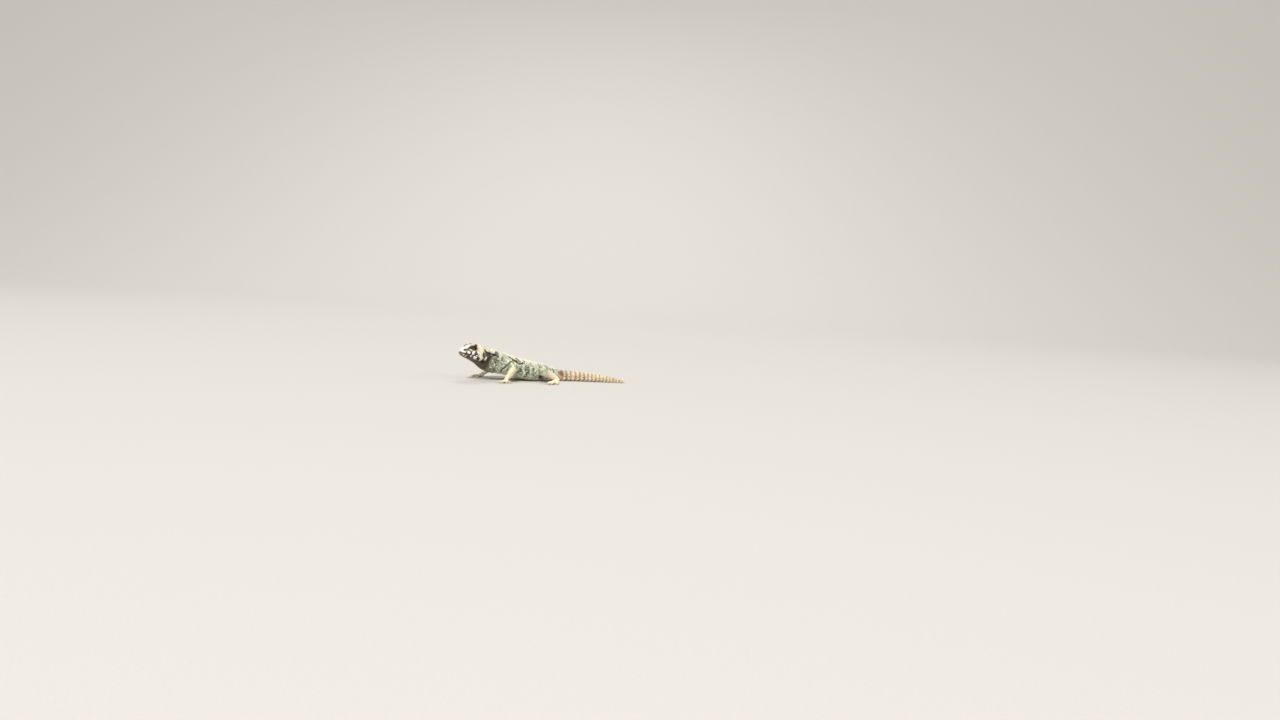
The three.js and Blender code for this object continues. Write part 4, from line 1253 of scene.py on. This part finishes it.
def fill_bare(seeds, candidates):
    """Adds seeds on bare skin, such as the lids and the joins between parts."""
    tree = kd_tree(seeds["at"])
    found = [tree.find(p) for p in candidates]
    near = np.array([f[1] for f in found])
    bare = np.array([f[2] for f in found]) > BARE_APART * seeds["size"][near]
    order = chance.permutation(np.nonzero(bare & keep_open(candidates))[0])
    if not len(order):
        return seeds
    order = order[thin_out(candidates[order], seeds["size"][near[order]], BARE_APART)]
    points, near = candidates[order], near[order]
    shift = (points - seeds["at"][near])[:, [0, 2]]
    extra = {key: values[near] for key, values in seeds.items()}
    extra["at"], extra["tall"] = points, np.ones(len(points))
    extra["chart"] = extra["chart"] + 0.002 * shift
    extra["fixed"] = np.zeros(len(points), bool)
    return {key: np.concatenate([seeds[key], extra[key]]) for key in seeds}


def neighbours(points, count):
    """For each seed its nearest others: their numbers."""
    tree = kd_tree(points)
    return np.array([[j for _, j, _ in tree.find_n(p, count + 1)] for p in points])[:, 1:]


SPREAD = {"rounds": 4, "neighbours": 7, "apart": 1.05, "push": 0.4}


def sow(skin_tree, skin_points):
    """Seeds of all scales on the skin: place, direction to the rear, size, height, layout and piece."""
    points, sizes, tall = marginal_seeds()
    head = to_head(points)
    shares = np.stack([np.clip(head[:, 0] / HEAD_LENGTH, 0, 1), np.arctan2(head[:, 2], head[:, 1])], 1)
    rearward = from_head(np.array([[1.0, 0, 0]])) - from_head(np.zeros((1, 3)))
    groups = [("head", points, np.tile(rearward, (len(points), 1)), sizes, tall, shares, True)]
    for name, _, _, place in sorted(PARTS, key=lambda part: part[0] in ("trunk", "tail")):
        points, flow, sizes, shares = seed_rows(place, *ROWS[kind(name)][:4])
        groups.append((name, points, flow, sizes, np.ones(len(points)), shares, False))
    seeds = {
        key: np.concatenate([group[k] for group in groups])
        for k, key in enumerate(("at", "flow", "size", "tall"), 1)
    }
    seeds["chart"] = np.concatenate([chart_of(group[0], group[5]) for group in groups])
    counts = [len(group[1]) for group in groups]
    seeds["piece"] = np.repeat([ROWS[kind(group[0])][4] for group in groups], counts)
    seeds["fixed"] = np.repeat([group[6] for group in groups], counts)
    on_skin, _, away = nearest_on(skin_tree, seeds["at"])
    kept = (away < SEED_REACH) & (keep_open(on_skin) | seeds["fixed"])
    seeds["at"] = on_skin
    seeds = subset(seeds, kept)
    seeds = subset(seeds, thin_out(seeds["at"], seeds["size"], SEED_APART))
    for _ in range(2):
        seeds = fill_bare(seeds, skin_points)

    for _ in range(SPREAD["rounds"]):
        around = neighbours(seeds["at"], SPREAD["neighbours"])
        apart = seeds["at"][:, None] - seeds["at"][around]
        distance = np.maximum(np.linalg.norm(apart, axis=2), 1e-6)
        want = seeds["size"][:, None] * SPREAD["apart"]
        push = np.clip(1 - distance / want, 0, 1) * want * SPREAD["push"]
        push = (apart / distance[..., None] * push[..., None]).sum(1) * ~seeds["fixed"][:, None]
        moved = nearest_on(skin_tree, seeds["at"] + push)[0]
        open_skin = keep_open(moved) | seeds["fixed"]
        seeds["at"] = np.where(open_skin[:, None], moved, seeds["at"])
    return seeds


SCALE_HEIGHT = 0.25
FINE_ANGLES = 36
REACH = {"neighbours": 14, "most": 0.78, "corner": 1.22, "level": 0.08}
RIM_SUNK = 0.07
RING_RISE = 0.8
# Painted shade and highlight on each scale, in shares of its colour: the rim in the groove between scales is
# darkened as shade, and the middle on the top is lightened as a highlight
SCALE_PAINTED_SHADING = {"rim": 0.55, "ring": 0.98, "middle": 1.06}
LAYOUT = {"edge": 0.012, "span": 0.976, "patch": 0.0015}
# How each kind of scale fills its cell, overlaps the next, tilts, and carries a keel
STYLES = {
    "plate": {"fit": 0.95, "overlap": 0.0, "tilt": 0.0, "keel": 0.0, "height": 0.85, "top": 0.76},
    "granule": {"fit": 0.95, "overlap": 0.0, "tilt": 0.03, "keel": 0.0, "height": 1.0, "top": 0.7},
    "whorl": {"fit": 1.0, "overlap": 0.12, "tilt": 0.1, "keel": 0.05, "height": 1.0, "top": 0.72},
    "keeled": {"fit": 1.0, "overlap": 0.14, "tilt": 0.12, "keel": 0.06, "height": 1.0, "top": 0.7},
}


def cell_reach(seeds, outward):
    """How far each scale reaches in each direction before its border with a neighbour."""
    ahead = unit(seeds["flow"] - outward * (seeds["flow"] * outward).sum(1)[:, None])
    across = np.cross(outward, ahead)
    around = neighbours(seeds["at"], REACH["neighbours"])
    away = seeds["at"][around] - seeds["at"][:, None]
    flat = np.stack([(away * ahead[:, None]).sum(2), (away * across[:, None]).sum(2)], 2)
    distance = np.linalg.norm(away, axis=2)
    flat *= (distance / np.maximum(np.linalg.norm(flat, axis=2), 1e-6))[..., None]
    turn = np.arange(FINE_ANGLES) * TURN / FINE_ANGLES
    way = np.stack([np.cos(turn), np.sin(turn)])
    toward = flat @ way
    distance = distance[..., None]
    reach = np.where(toward > REACH["level"] * distance, distance ** 2 / 2 / np.maximum(toward, 1e-6), 9)
    return ahead, across, np.minimum(reach.min(1), REACH["most"] * seeds["size"][:, None])


def patches(charts, whole, way):
    """Each point's patch on its piece's flat layout: its root's place there, and a little way round it."""
    low, high = whole.min(0), whole.max(0)
    place = np.clip((charts - low) / (high - low), 0, 1)
    return LAYOUT["edge"] + LAYOUT["span"] * place + LAYOUT["patch"] * way


def scale_mesh(seeds, skin_tree, rgb, style):
    """Scales as one mesh: each has a rim sunk in the skin, a ring raised inside it and a middle."""
    _, outward, _ = nearest_on(skin_tree, seeds["at"])
    ahead, across, reach = cell_reach(seeds, outward)
    corner = (reach >= np.roll(reach, 1, 1)) & (reach > np.roll(reach, -1, 1))
    few = corner.sum(1) < 4
    corner[few] = np.arange(FINE_ANGLES) % 6 == 0
    which, step = np.nonzero(corner)
    middle_reach = reach.mean(1)
    far = np.minimum(reach[which, step], REACH["corner"] * middle_reach[which]) * style["fit"]
    x = far * np.cos(step * TURN / FINE_ANGLES)
    y = far * np.sin(step * TURN / FINE_ANGLES)
    size, centre = seeds["size"][which], seeds["at"][which]
    rear = np.clip(x / size, 0, 1)
    flat = ahead[which] * x[:, None] + across[which] * y[:, None]
    rim = nearest_on(skin_tree, centre + flat)[0]
    rim = rim + ahead[which] * (style["overlap"] * rear * size)[:, None]
    rim = rim + outward[which] * (style["tilt"] * rear - RIM_SUNK)[:, None]
    height = SCALE_HEIGHT * seeds["tall"] * np.clip(seeds["size"], 0.55, 1.15) * style["height"]
    ring = centre + style["top"] * (rim - centre)
    ring = ring + outward[which] * (height[which] * RING_RISE + style["tilt"] * rear * 0.5)[:, None]
    peak = seeds["at"] + outward * height[:, None]
    peak = peak + ahead * (style["keel"] * seeds["size"] * seeds["tall"])[:, None]
    peak = peak + outward * (style["keel"] * 0.35 * seeds["size"])[:, None]

    n, rims = len(peak), len(which)
    first = np.searchsorted(which, np.arange(n))
    last = np.append(first[1:], rims) - 1
    following = np.arange(rims) + 1
    following[last] = first
    a, b = np.arange(rims), following
    faces = np.concatenate([
        np.stack([a, b, b + rims], 1), np.stack([a, b + rims, a + rims], 1),
        np.stack([a + rims, b + rims, 2 * rims + which], 1),
    ])
    points = np.concatenate([rim, ring, peak])
    # Painted shade on each scale's rim and a painted highlight on its middle
    painted_shading = np.repeat([SCALE_PAINTED_SHADING["rim"], SCALE_PAINTED_SHADING["ring"], SCALE_PAINTED_SHADING["middle"]], [rims, rims, n])
    owner = np.concatenate([which, which, np.arange(n)])
    tint = rgb[owner] * painted_shading[:, None]
    reach_share = np.stack([x, y], 1) / (1.3 * middle_reach[which])[:, None]
    local = np.concatenate([reach_share, reach_share * style["top"], np.zeros((n, 2))])
    return points, faces, tint, patches(seeds["chart"][owner], seeds["chart"], local)


def coloured_mesh(name, points, faces, tint, patch):
    """A mesh in metres from arrays in millimetres, with its colours and its flat layout."""
    mesh = bpy.data.meshes.new(name)
    mesh.vertices.add(len(points))
    mesh.vertices.foreach_set("co", (points * MM).ravel())
    mesh.loops.add(faces.size)
    mesh.loops.foreach_set("vertex_index", faces.ravel())
    mesh.polygons.add(len(faces))
    mesh.polygons.foreach_set("loop_start", np.arange(0, faces.size, 3))
    mesh.polygons.foreach_set("use_smooth", np.ones(len(faces), bool))
    mesh.update(calc_edges=True)
    paint(mesh, tint)
    layer = mesh.uv_layers.new(name="OFBake")
    layer.data.foreach_set("uv", patch[faces.ravel()].ravel())
    return add_object(name, mesh=mesh)


def paint(mesh, tint):
    layer = mesh.color_attributes.new("tint", "FLOAT_COLOR", "POINT")
    layer.data.foreach_set("color", np.concatenate([tint, np.ones((len(tint), 1))], 1).ravel())


# Claws, eyes, eardrums and the tail's spines

def tail_surface(s, angle):
    share = (np.ravel(s) - TAIL_FROM) / TAIL_RUN
    return tail(share, np.broadcast_to(angle, share.shape))


# Lengths and numbers of the spines on the first and the last whorl
SIDE_SPINE = [5.6, 2.7]
BACK_SPINE = [3.3, 1.6]
BELLY_SPINE = [1.0, 0.5]
SPINES_AROUND = [15, 8]
BELLY_SPINES_AROUND = [7, 5]
SPINE_ANGLES = [-16, 196]
BELLY_ANGLES = [212, 328]
SPINE_VARIES = {"length": (0.76, 1.14), "width": (0.68, 0.82), "angle": (-2, 2)}
SPINE_LOW = 0.7  # length of the spines below the side, in shares of the others
SPINE_BREADTH = 3.9  # of a whorl's spines side by side, in half widths of the tail
BELLY_BREADTH = 2.2
BELLY_WIDTH = 0.6
SPINE_ROOT = 0.25  # share of the whorl before the spines' roots
SPINE_CAP = 0.18
# How far before its whorl's end a spine leaves it, how deep its root lies, and how far it reaches back
# and out, each with what is added at the tail's sides
SPINE_WAY = {"leaves": 0.35, "root": 0.35, "back": (0.84, -0.2), "out": (0.4, 0.38)}
SPINE_BULGE = {"out": 0.25, "longer than": 1.2, "forward": 0.15}
SPINE_TAPER = {"full": 1.02, "from": 0.62, "power": 0.9, "least": 0.015}
SPINE_KEEL = {"power": 2.4, "below": 0.6, "tall": 0.7, "taller": 0.4, "at": 4, "widest": 1.6}


def spine_rows():
    """Every spine of the tail: whorl, angle round the tail, length and width."""
    rows = []
    for k in range(WHORLS):
        side, back, belly, count, low = (
            first + (last - first) * (k / (WHORLS - 1))
            for first, last in (SIDE_SPINE, BACK_SPINE, BELLY_SPINE, SPINES_AROUND, BELLY_SPINES_AROUND)
        )
        count, low = int(round(count)), int(round(low))
        half = body_size(np.array([ENDS[k]]))[0][0]
        for angle in np.linspace(*SPINE_ANGLES, count) * DEGREE:
            sideways = abs(math.cos(angle)) ** 1.5
            length = (back + (side - back) * sideways) * chance.uniform(*SPINE_VARIES["length"])
            if math.sin(angle) < 0:
                length *= SPINE_LOW
            width = half * SPINE_BREADTH / count * chance.uniform(*SPINE_VARIES["width"])
            rows.append((k, angle + chance.uniform(*SPINE_VARIES["angle"]) * DEGREE, length, width))
        for angle in np.linspace(*BELLY_ANGLES, low) * DEGREE:
            rows.append((k, angle, belly, half * BELLY_BREADTH / low * BELLY_WIDTH))
    return rows


def spine_place(k, angle, length, width):
    """A keeled spine: it starts low on its whorl, widens, and rises to a point behind the whorl's end."""
    start = STARTS[k] + SPINE_ROOT * (ENDS[k] - STARTS[k])
    end = ENDS[k] - SPINE_WAY["leaves"]
    root, lip = tail_surface([start, end], angle)
    back = unit(tail_surface([end], angle)[0] - tail_surface([end - 1.5], angle)[0])
    centre = body_point(end, 0, body_size(np.array([end]))[1][0])[0]
    outward = unit(lip - centre)
    sideways = abs(math.cos(angle))
    to_rear, to_side = (least + more * sideways for least, more in (SPINE_WAY["back"], SPINE_WAY["out"]))
    tip = lip + length * (back * to_rear + outward * to_side)
    tip[2] = max(tip[2], LOWEST["spine tips"])
    middle = lip + outward * SPINE_BULGE["out"] * (length > SPINE_BULGE["longer than"])
    middle = middle - back * SPINE_BULGE["forward"] * (end - start)
    curve = bow(root - outward * SPINE_WAY["root"], middle, tip)
    across = unit(np.cross(back, outward))

    def place(share, turn):
        centre_line, ahead = curve(share)
        above = unit(np.cross(ahead, across))
        taper = np.clip((SPINE_TAPER["full"] - share) / SPINE_TAPER["from"], 0, 1) ** SPINE_TAPER["power"]
        profile = np.sqrt(np.clip(share / SPINE_CAP, 0, 1)) * taper + SPINE_TAPER["least"]
        tall = SPINE_KEEL["tall"] + SPINE_KEEL["taller"] * np.clip(length / SPINE_KEEL["at"], 0, 1)
        tall = tall * profile * min(width, SPINE_KEEL["widest"])
        above_axis = np.abs(np.sin(turn))
        ridge = np.where(
            np.sin(turn) > 0, above_axis ** SPINE_KEEL["power"], -SPINE_KEEL["below"] * above_axis
        )
        spread = across * (width * profile * np.cos(turn))[:, None]
        return centre_line + spread + above * (tall * ridge)[:, None]
    return place, root


def make_spines(whole):
    """All spines as arrays: points, faces, colours and patches on the tail's flat layout."""
    shapes, roots, tips, charts, ways = [], [], [], [], []
    for k, angle, length, width in spine_rows():
        place, root = spine_place(k, angle, length, width)
        shapes.append(shape(12, 9, place))
        points = places(shapes[-1].verts)
        far = np.linalg.norm(points - root, axis=1)
        tips.append(far / far.max())
        roots.append(np.tile(root, (len(points), 1)))
        share = ((STARTS[k] + ENDS[k]) / 2 - TAIL_FROM) / TAIL_RUN
        charts.append(np.tile([share, (angle / TURN + 0.5) % 1.0], (len(points), 1)))
        way = np.stack([points[:, 0] - points[:, 0].mean(), points[:, 1] + points[:, 2]], 1)
        way[:, 1] -= way[:, 1].mean()
        ways.append(way / max(np.abs(way).max(), 1e-6))
    bm = joined(shapes)
    bmesh.ops.triangulate(bm, faces=bm.faces[:])
    bm.verts.index_update()
    points = places(bm.verts)
    faces = np.array([[v.index for v in f.verts] for f in bm.faces])
    bm.free()
    base, tips = markings(np.concatenate(roots)), np.concatenate(tips)
    mottled = smooth(0.45, 0.7, noise(points, 1.6, 81)) * smooth(0.85, 0.3, tips)
    # Spine roots are darkened as painted shade under the whorl before them, and the tips fade to pale horn
    tint = mix(base * 0.62, mix(base, linear(HORN), 0.6), smooth(0.25, 0.85, tips))
    tint = mix(tint, linear(UMBER), 0.6 * mottled)
    return points, faces, tint, patches(np.concatenate(charts), whole, np.concatenate(ways))


def claw_radius(paw, part):
    def radius(share):
        round_off = np.sqrt(np.clip(share / CLAW_SHAPE["cap"], 0, 1))
        thin = paw["radius"] * CLAW_SHAPE["wide"] * (1 - CLAW_SHAPE["taper"] * share) * round_off
        return (thin + CLAW_SHAPE["least"]) * part
    return radius


def make_claws():
    shapes = []
    for leg in LEGS:
        wide, tall = (claw_radius(leg["paw"], part) for part in (CLAW_SHAPE["flat"], 1.0))
        shapes += [shape(16, 18, tube(claw, wide, tall)) for _, claw in leg["toe_curves"]]
    bm = joined(shapes)
    for v in bm.verts:
        v.co.z = max(v.co.z, LOWEST["claws"])
    return add_object("claws", bm)


CORNEA = {"rise": 0.035, "edge": 0.75, "top": 0.1}
EYE_GAP = 0.05
EARDRUM = {"sunk": 1.1, "thick": 0.35, "share": 0.95}


def make_eye(side):
    """An eyeball with a low cornea, and the angle of each point from its line of sight."""
    bm = bmesh.new()
    radius = EYE_RADIUS - EYE_GAP
    axis = EYE_OUT * (1, side, 1)
    verts = bmesh.ops.create_uvsphere(bm, u_segments=72, v_segments=56, radius=radius)["verts"]
    turn = Vector((0, 0, 1)).rotation_difference(Vector(axis)).to_matrix()
    ball = places(verts)
    angle = np.arccos(np.clip(ball[:, 2] / radius, -1, 1))
    ball *= (1 + CORNEA["rise"] * smooth(CORNEA["edge"], CORNEA["top"], angle))[:, None]
    move(verts, from_head(ball @ np.array(turn).T + EYE * (1, side, 1)))
    bmesh.ops.recalc_face_normals(bm, faces=bm.faces[:])
    piece = add_object("eye_left" if side > 0 else "eye_right", bm)
    layer = piece.data.attributes.new("sight", "FLOAT", "POINT")
    layer.data.foreach_set("value", angle)
    return piece


def make_eardrum(side):
    half = skull_size(np.array([EAR["at"]]))[0][0]
    centre = np.array([EAR["at"], side * (half - EARDRUM["sunk"]), EAR["up"]])
    radii = [EAR["wide"] * EARDRUM["share"], EARDRUM["thick"], EAR["tall"] * EARDRUM["share"]]
    disc = ellipsoid(np.zeros(3), radii)
    lean = np.array(Matrix.Rotation(EAR["slant"], 3, "Y"))
    bm = shape(40, 16, lambda share, angle: from_head(disc(share, angle) @ lean.T + centre))
    return add_object("eardrum_left" if side > 0 else "eardrum_right", bm)


# Materials: every pattern is noise on Object coordinates, or a colour or angle kept with each point

BROAD_GRAIN = 160
GRAIN_SPAN = (0.3, 0.7)  # the part of the noise's range that is used
VALUE_SPAN = (0.9, 1.1)
SATURATION_SPAN = (0.92, 1.1)
ROUGHNESS_SPAN = (-0.07, 0.09)
SCALE_BUMP = 0.00006
HORN_BUMP = 0.0001
# Skin and scales: roughness, grain, strength of the bump, shine
COAT_LOOKS = {
    "skin_between": (0.62, 3200, 0.35, 0.3),
    "scales_smooth": (0.46, 3000, 0.3, 0.4),
    "scales_granular": (0.5, 2600, 0.35, 0.4),
    "scales_horny": (0.52, 2200, 0.5, 0.4),
    "scales_keeled": (0.5, 2600, 0.4, 0.4),
}
# Claws, eardrums and floor: darker and lighter colour, grain, roughness, strength of the bump
PLAIN_LOOKS = {
    "claw_horn": ((188, 170, 136), (228, 214, 184), 900, 0.35, 0.3),
    # The eardrums' near-black colours are painted shade deep in the ear openings
    "eardrum_painted_shade": ((34, 25, 18), (62, 46, 34), 1500, 0.5, 0.3),
    "floor_paper": ((206, 204, 199), (209, 207, 202), 600, 0.9, 0.0),
}
# Rings of the eye, by the angle from its line of sight: black pupil, golden ring, brown iris, dark edge
EYE_RINGS = [
    (0.0, (2, 2, 2)), (0.37, (2, 2, 2)), (0.395, (164, 112, 50)),
    (0.44, (104, 68, 36)), (0.62, (62, 42, 27)), (0.84, (18, 14, 11)),
]
EYE_SPOKES = {"grain": 1800, "detail": 5, "by": 0.07}
EYE_SURFACE = {
    "Roughness": 0.22, "Coat Weight": 0.6, "Coat Roughness": 0.03, "Coat IOR": 1.36,
    "Specular IOR Level": 0.1,
}


def new_material(name):
    material = bpy.data.materials.new(name)
    material.use_nodes = True
    nodes, links = material.node_tree.nodes, material.node_tree.links
    return material, nodes, links, nodes["Principled BSDF"]


def add_node(nodes, kind_of, **values):
    """A node with its sockets set by name, spaces written as underscores."""
    node = nodes.new("ShaderNode" + kind_of)
    for socket, value in values.items():
        node.inputs[socket.replace("_", " ")].default_value = value
    return node


def add_noise(nodes, links, size, detail):
    texture = add_node(nodes, "TexNoise", Scale=size, Detail=detail)
    links.new(nodes.new("ShaderNodeTexCoord").outputs["Object"], texture.inputs["Vector"])
    return texture.outputs["Fac"]


def remap(nodes, links, value, span):
    low, high = GRAIN_SPAN
    node = add_node(nodes, "MapRange", From_Min=low, From_Max=high, To_Min=span[0], To_Max=span[1])
    links.new(value, node.inputs["Value"])
    return node.outputs["Result"]


def roughen(nodes, links, surface, grain, strength, distance):
    height = add_node(nodes, "Bump", Strength=strength, Distance=distance)
    links.new(grain, height.inputs["Height"])
    links.new(height.outputs["Normal"], surface.inputs["Normal"])


def attribute(nodes, name):
    node = nodes.new("ShaderNodeAttribute")
    node.attribute_name = name
    return node


def coat_material(name):
    """Painted by the 'tint' of each point, broken up by fine noise, with a grainy surface."""
    roughness, grain, bump, shine = COAT_LOOKS[name]
    material, nodes, links, surface = new_material(name)
    broad = add_noise(nodes, links, BROAD_GRAIN, 3)
    fine = add_noise(nodes, links, grain, 3)
    vary = add_node(nodes, "HueSaturation")
    links.new(attribute(nodes, "tint").outputs["Color"], vary.inputs["Color"])
    links.new(remap(nodes, links, fine, VALUE_SPAN), vary.inputs["Value"])
    links.new(remap(nodes, links, broad, SATURATION_SPAN), vary.inputs["Saturation"])
    links.new(vary.outputs["Color"], surface.inputs["Base Color"])
    rough = remap(nodes, links, broad, [roughness + by for by in ROUGHNESS_SPAN])
    links.new(rough, surface.inputs["Roughness"])
    surface.inputs["Specular IOR Level"].default_value = shine
    roughen(nodes, links, surface, fine, bump, SCALE_BUMP)
    return material


def ramp(nodes, links, value, surface, stops):
    """Colours the surface by a value, through a ramp of screen colours."""
    node = nodes.new("ShaderNodeValToRGB")
    elements = node.color_ramp.elements
    while len(elements) < len(stops):
        elements.new(0.5)
    for element, (at, tone) in zip(elements, stops):
        element.position = at
        element.color = (*colour(*tone), 1)
    links.new(value, node.inputs["Fac"])
    links.new(node.outputs["Color"], surface.inputs["Base Color"])


def eye_material():
    """Round black pupil, thin golden ring, dark brown iris with fine spokes, and a wet surface."""
    material, nodes, links, surface = new_material("eye_wet")
    fleck = add_noise(nodes, links, EYE_SPOKES["grain"], EYE_SPOKES["detail"])
    wobble = nodes.new("ShaderNodeMath")
    wobble.operation = "MULTIPLY_ADD"
    wobble.inputs[1].default_value = EYE_SPOKES["by"]
    links.new(fleck, wobble.inputs[0])
    links.new(attribute(nodes, "sight").outputs["Fac"], wobble.inputs[2])
    ramp(nodes, links, wobble.outputs["Value"], surface, EYE_RINGS)
    for socket, value in EYE_SURFACE.items():
        surface.inputs[socket].default_value = value
    return material


def plain_material(name):
    """Two near colours mixed by noise, for claws, eardrums and the floor."""
    dark, light, size, roughness, bump = PLAIN_LOOKS[name]
    material, nodes, links, surface = new_material(name)
    grain = add_noise(nodes, links, size, 4)
    ramp(nodes, links, grain, surface, list(zip(GRAIN_SPAN, (dark, light))))
    surface.inputs["Roughness"].default_value = roughness
    if bump:
        roughen(nodes, links, surface, grain, bump, HORN_BUMP)
    return material


def give(piece, material, slot, *nodes):
    piece.data.materials.append(material)
    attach(piece, "root")
    if nodes:
        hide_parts(*nodes)


# Putting the animal together

SKIN_PAINTED_SHADE = 0.6  # brightness of the skin between the scales, in shares of theirs: painted shade in the grooves between them
SCALES_VARY = 0.16
# Coat pieces: part of the body, from and to which distance behind the snout, style, material and slot
COATS = {
    "scales_head": ("head", -99, 999, "plate", "scales_smooth", "skin_head"),
    "scales_neck": ("trunk", -99, 72, "granule", "scales_granular", "skin_body"),
    "scales_back": ("trunk", 72, 104, "granule", "scales_granular", "skin_body"),
    "scales_hips": ("trunk", 104, 999, "granule", "scales_granular", "skin_body"),
    "scales_tail": ("tail", -99, 999, "whorl", "scales_horny", "skin_tail"),
    "scales_legs": ("legs", -99, 999, "keeled", "scales_keeled", "skin_limb"),
}

skin_bm = make_skin()
skin_tree = BVHTree.FromBMesh(skin_bm)
skin_points = places(skin_bm.verts)
seeds = sow(skin_tree, skin_points)
skin = to_metres(add_object("skin", skin_bm))
# The skin between the scales is darkened as painted shade in the grooves
paint(skin.data, markings(skin_points) * SKIN_PAINTED_SHADE)
flesh = [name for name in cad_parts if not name.startswith(("eye", "ear"))]
give(skin, coat_material("skin_between"), "skin_body", *flesh)

seeds_at = body_coords(seeds["at"])[0]
scale_colours = markings(seeds["at"])
scale_colours *= 1 + SCALES_VARY * (chance.random((len(scale_colours), 1)) - 0.5)
coats = {looks: coat_material(looks) for looks in COAT_LOOKS if looks != "skin_between"}
for name, (part, start, end, style, looks, slot) in COATS.items():
    members = (seeds["piece"] == part) & (seeds_at >= start) & (seeds_at < end)
    sown = subset(seeds, members)
    points, faces, tint, patch = scale_mesh(sown, skin_tree, scale_colours[members], STYLES[style])
    if part == "tail":
        spines = make_spines(sown["chart"])
        faces = np.concatenate([faces, spines[1] + len(points)])
        points, tint, patch = (
            np.concatenate(pair) for pair in zip((points, tint, patch), (spines[0], *spines[2:]))
        )
    points[:, 2] = np.maximum(points[:, 2], LOWEST["scales"])
    give(coloured_mesh(name, points, faces, tint, patch), coats[looks], slot)

give(to_metres(make_claws()), plain_material("claw_horn"), "claw")
eyes, drums = eye_material(), plain_material("eardrum_painted_shade")
for side, word in ((1, "left"), (-1, "right")):
    give(to_metres(make_eye(side)), eyes, "eye", f"eye_{word}")
    give(to_metres(make_eardrum(side)), drums, "eardrum", f"ear_{word}")


# Floor, lamps and camera, in metres, but with the camera's aim, distance and lens in millimetres

CAMERA = {"azimuth": -25.36, "elevation": 4.56, "roll": 3.38, "aim": (171.0, -10.0, 34.3), "away": 1673.0}
LENS = {"length": 30, "sensor": 36, "nearest": 0.01}
BACKDROP = {"near": 7.0, "far": 2.2, "wide": 9.0, "bend": 3.0, "tall": 5.0}
BEND_STEPS = 24
# Lamps, all aimed at the animal: place, size, power and colour
LAMPS = {
    "key": ((-3.4, -4.6, 6.2), 1.5, 560, (1.0, 0.975, 0.94)),
    "fill": ((4.8, -4.0, 2.8), 3.4, 60, (0.93, 0.96, 1.0)),
    "rim": ((1.2, 3.0, 3.4), 1.4, 50, (1.0, 0.98, 0.95)),
}
LAMP_TARGET = (0, 0, 0.02)
SURROUND = {"Color": (0.96, 0.94, 0.91, 1), "Strength": 0.5}


def make_floor():
    """A pale sheet that runs from the floor up behind the animal in one wide bend."""
    bm = bmesh.new()
    start = bm.verts.new((-BACKDROP["wide"], -BACKDROP["near"], 0))
    corner = bm.verts.new((-BACKDROP["wide"], BACKDROP["far"], 0))
    bm.edges.new((start, corner))
    bent = bmesh.ops.spin(
        bm, geom=[corner], cent=(0, BACKDROP["far"], BACKDROP["bend"]), axis=(1, 0, 0), angle=math.pi / 2,
        steps=BEND_STEPS, use_merge=False, use_duplicate=False,
    )
    top = bent["geom_last"][0]
    end = bm.verts.new(top.co + Vector((0, 0, BACKDROP["tall"])))
    bm.edges.new((top, end))
    drawn = bmesh.ops.extrude_edge_only(bm, edges=bm.edges[:])["geom"]
    moved = [v for v in drawn if isinstance(v, bmesh.types.BMVert)]
    bmesh.ops.translate(bm, verts=moved, vec=(2 * BACKDROP["wide"], 0, 0))
    bmesh.ops.recalc_face_normals(bm, faces=bm.faces[:])
    turn = Matrix.Rotation(CAMERA["azimuth"] * DEGREE, 3, "Z")
    bmesh.ops.rotate(bm, verts=bm.verts[:], cent=(0, 0, 0), matrix=turn)
    floor = smoothed(add_object("floor", bm))
    floor.data.materials.append(plain_material("floor_paper"))


def add_lamp(name, place, size, power, tone):
    data = bpy.data.lights.new(name, "AREA")
    data.shape = "DISK"
    data.size, data.energy, data.color = size, power, tone
    lamp = bpy.data.objects.new(name, data)
    scene.collection.objects.link(lamp)
    way = Vector(place) - Vector(LAMP_TARGET)
    lamp.matrix_world = Matrix.Translation(place) @ way.to_track_quat("Z", "Y").to_matrix().to_4x4()


def make_camera():
    """The photo's camera: its aim, its distance and its slight roll."""
    a, e, r = (CAMERA[key] * DEGREE for key in ("azimuth", "elevation", "roll"))
    back = Vector((math.sin(a) * math.cos(e), -math.cos(a) * math.cos(e), math.sin(e)))
    right = Vector((math.cos(a), math.sin(a), 0))
    up = back.cross(right)
    turned = math.cos(r) * right + math.sin(r) * up, -math.sin(r) * right + math.cos(r) * up
    camera = bpy.data.objects.new("camera", bpy.data.cameras.new("camera"))
    camera.data.lens, camera.data.sensor_width = LENS["length"], LENS["sensor"]
    camera.data.clip_start = LENS["nearest"]
    scene.collection.objects.link(camera)
    place = (Vector(CAMERA["aim"]) + back * CAMERA["away"]) * MM
    camera.matrix_world = Matrix.Translation(place) @ Matrix((*turned, back)).transposed().to_4x4()
    scene.camera = camera


make_floor()
for name, settings in LAMPS.items():
    add_lamp(name, *settings)
world = bpy.data.worlds.new("studio")
world.use_nodes = True
for socket, value in SURROUND.items():
    world.node_tree.nodes["Background"].inputs[socket].default_value = value
scene.world = world
make_camera()
scene.view_settings.view_transform = "Standard"
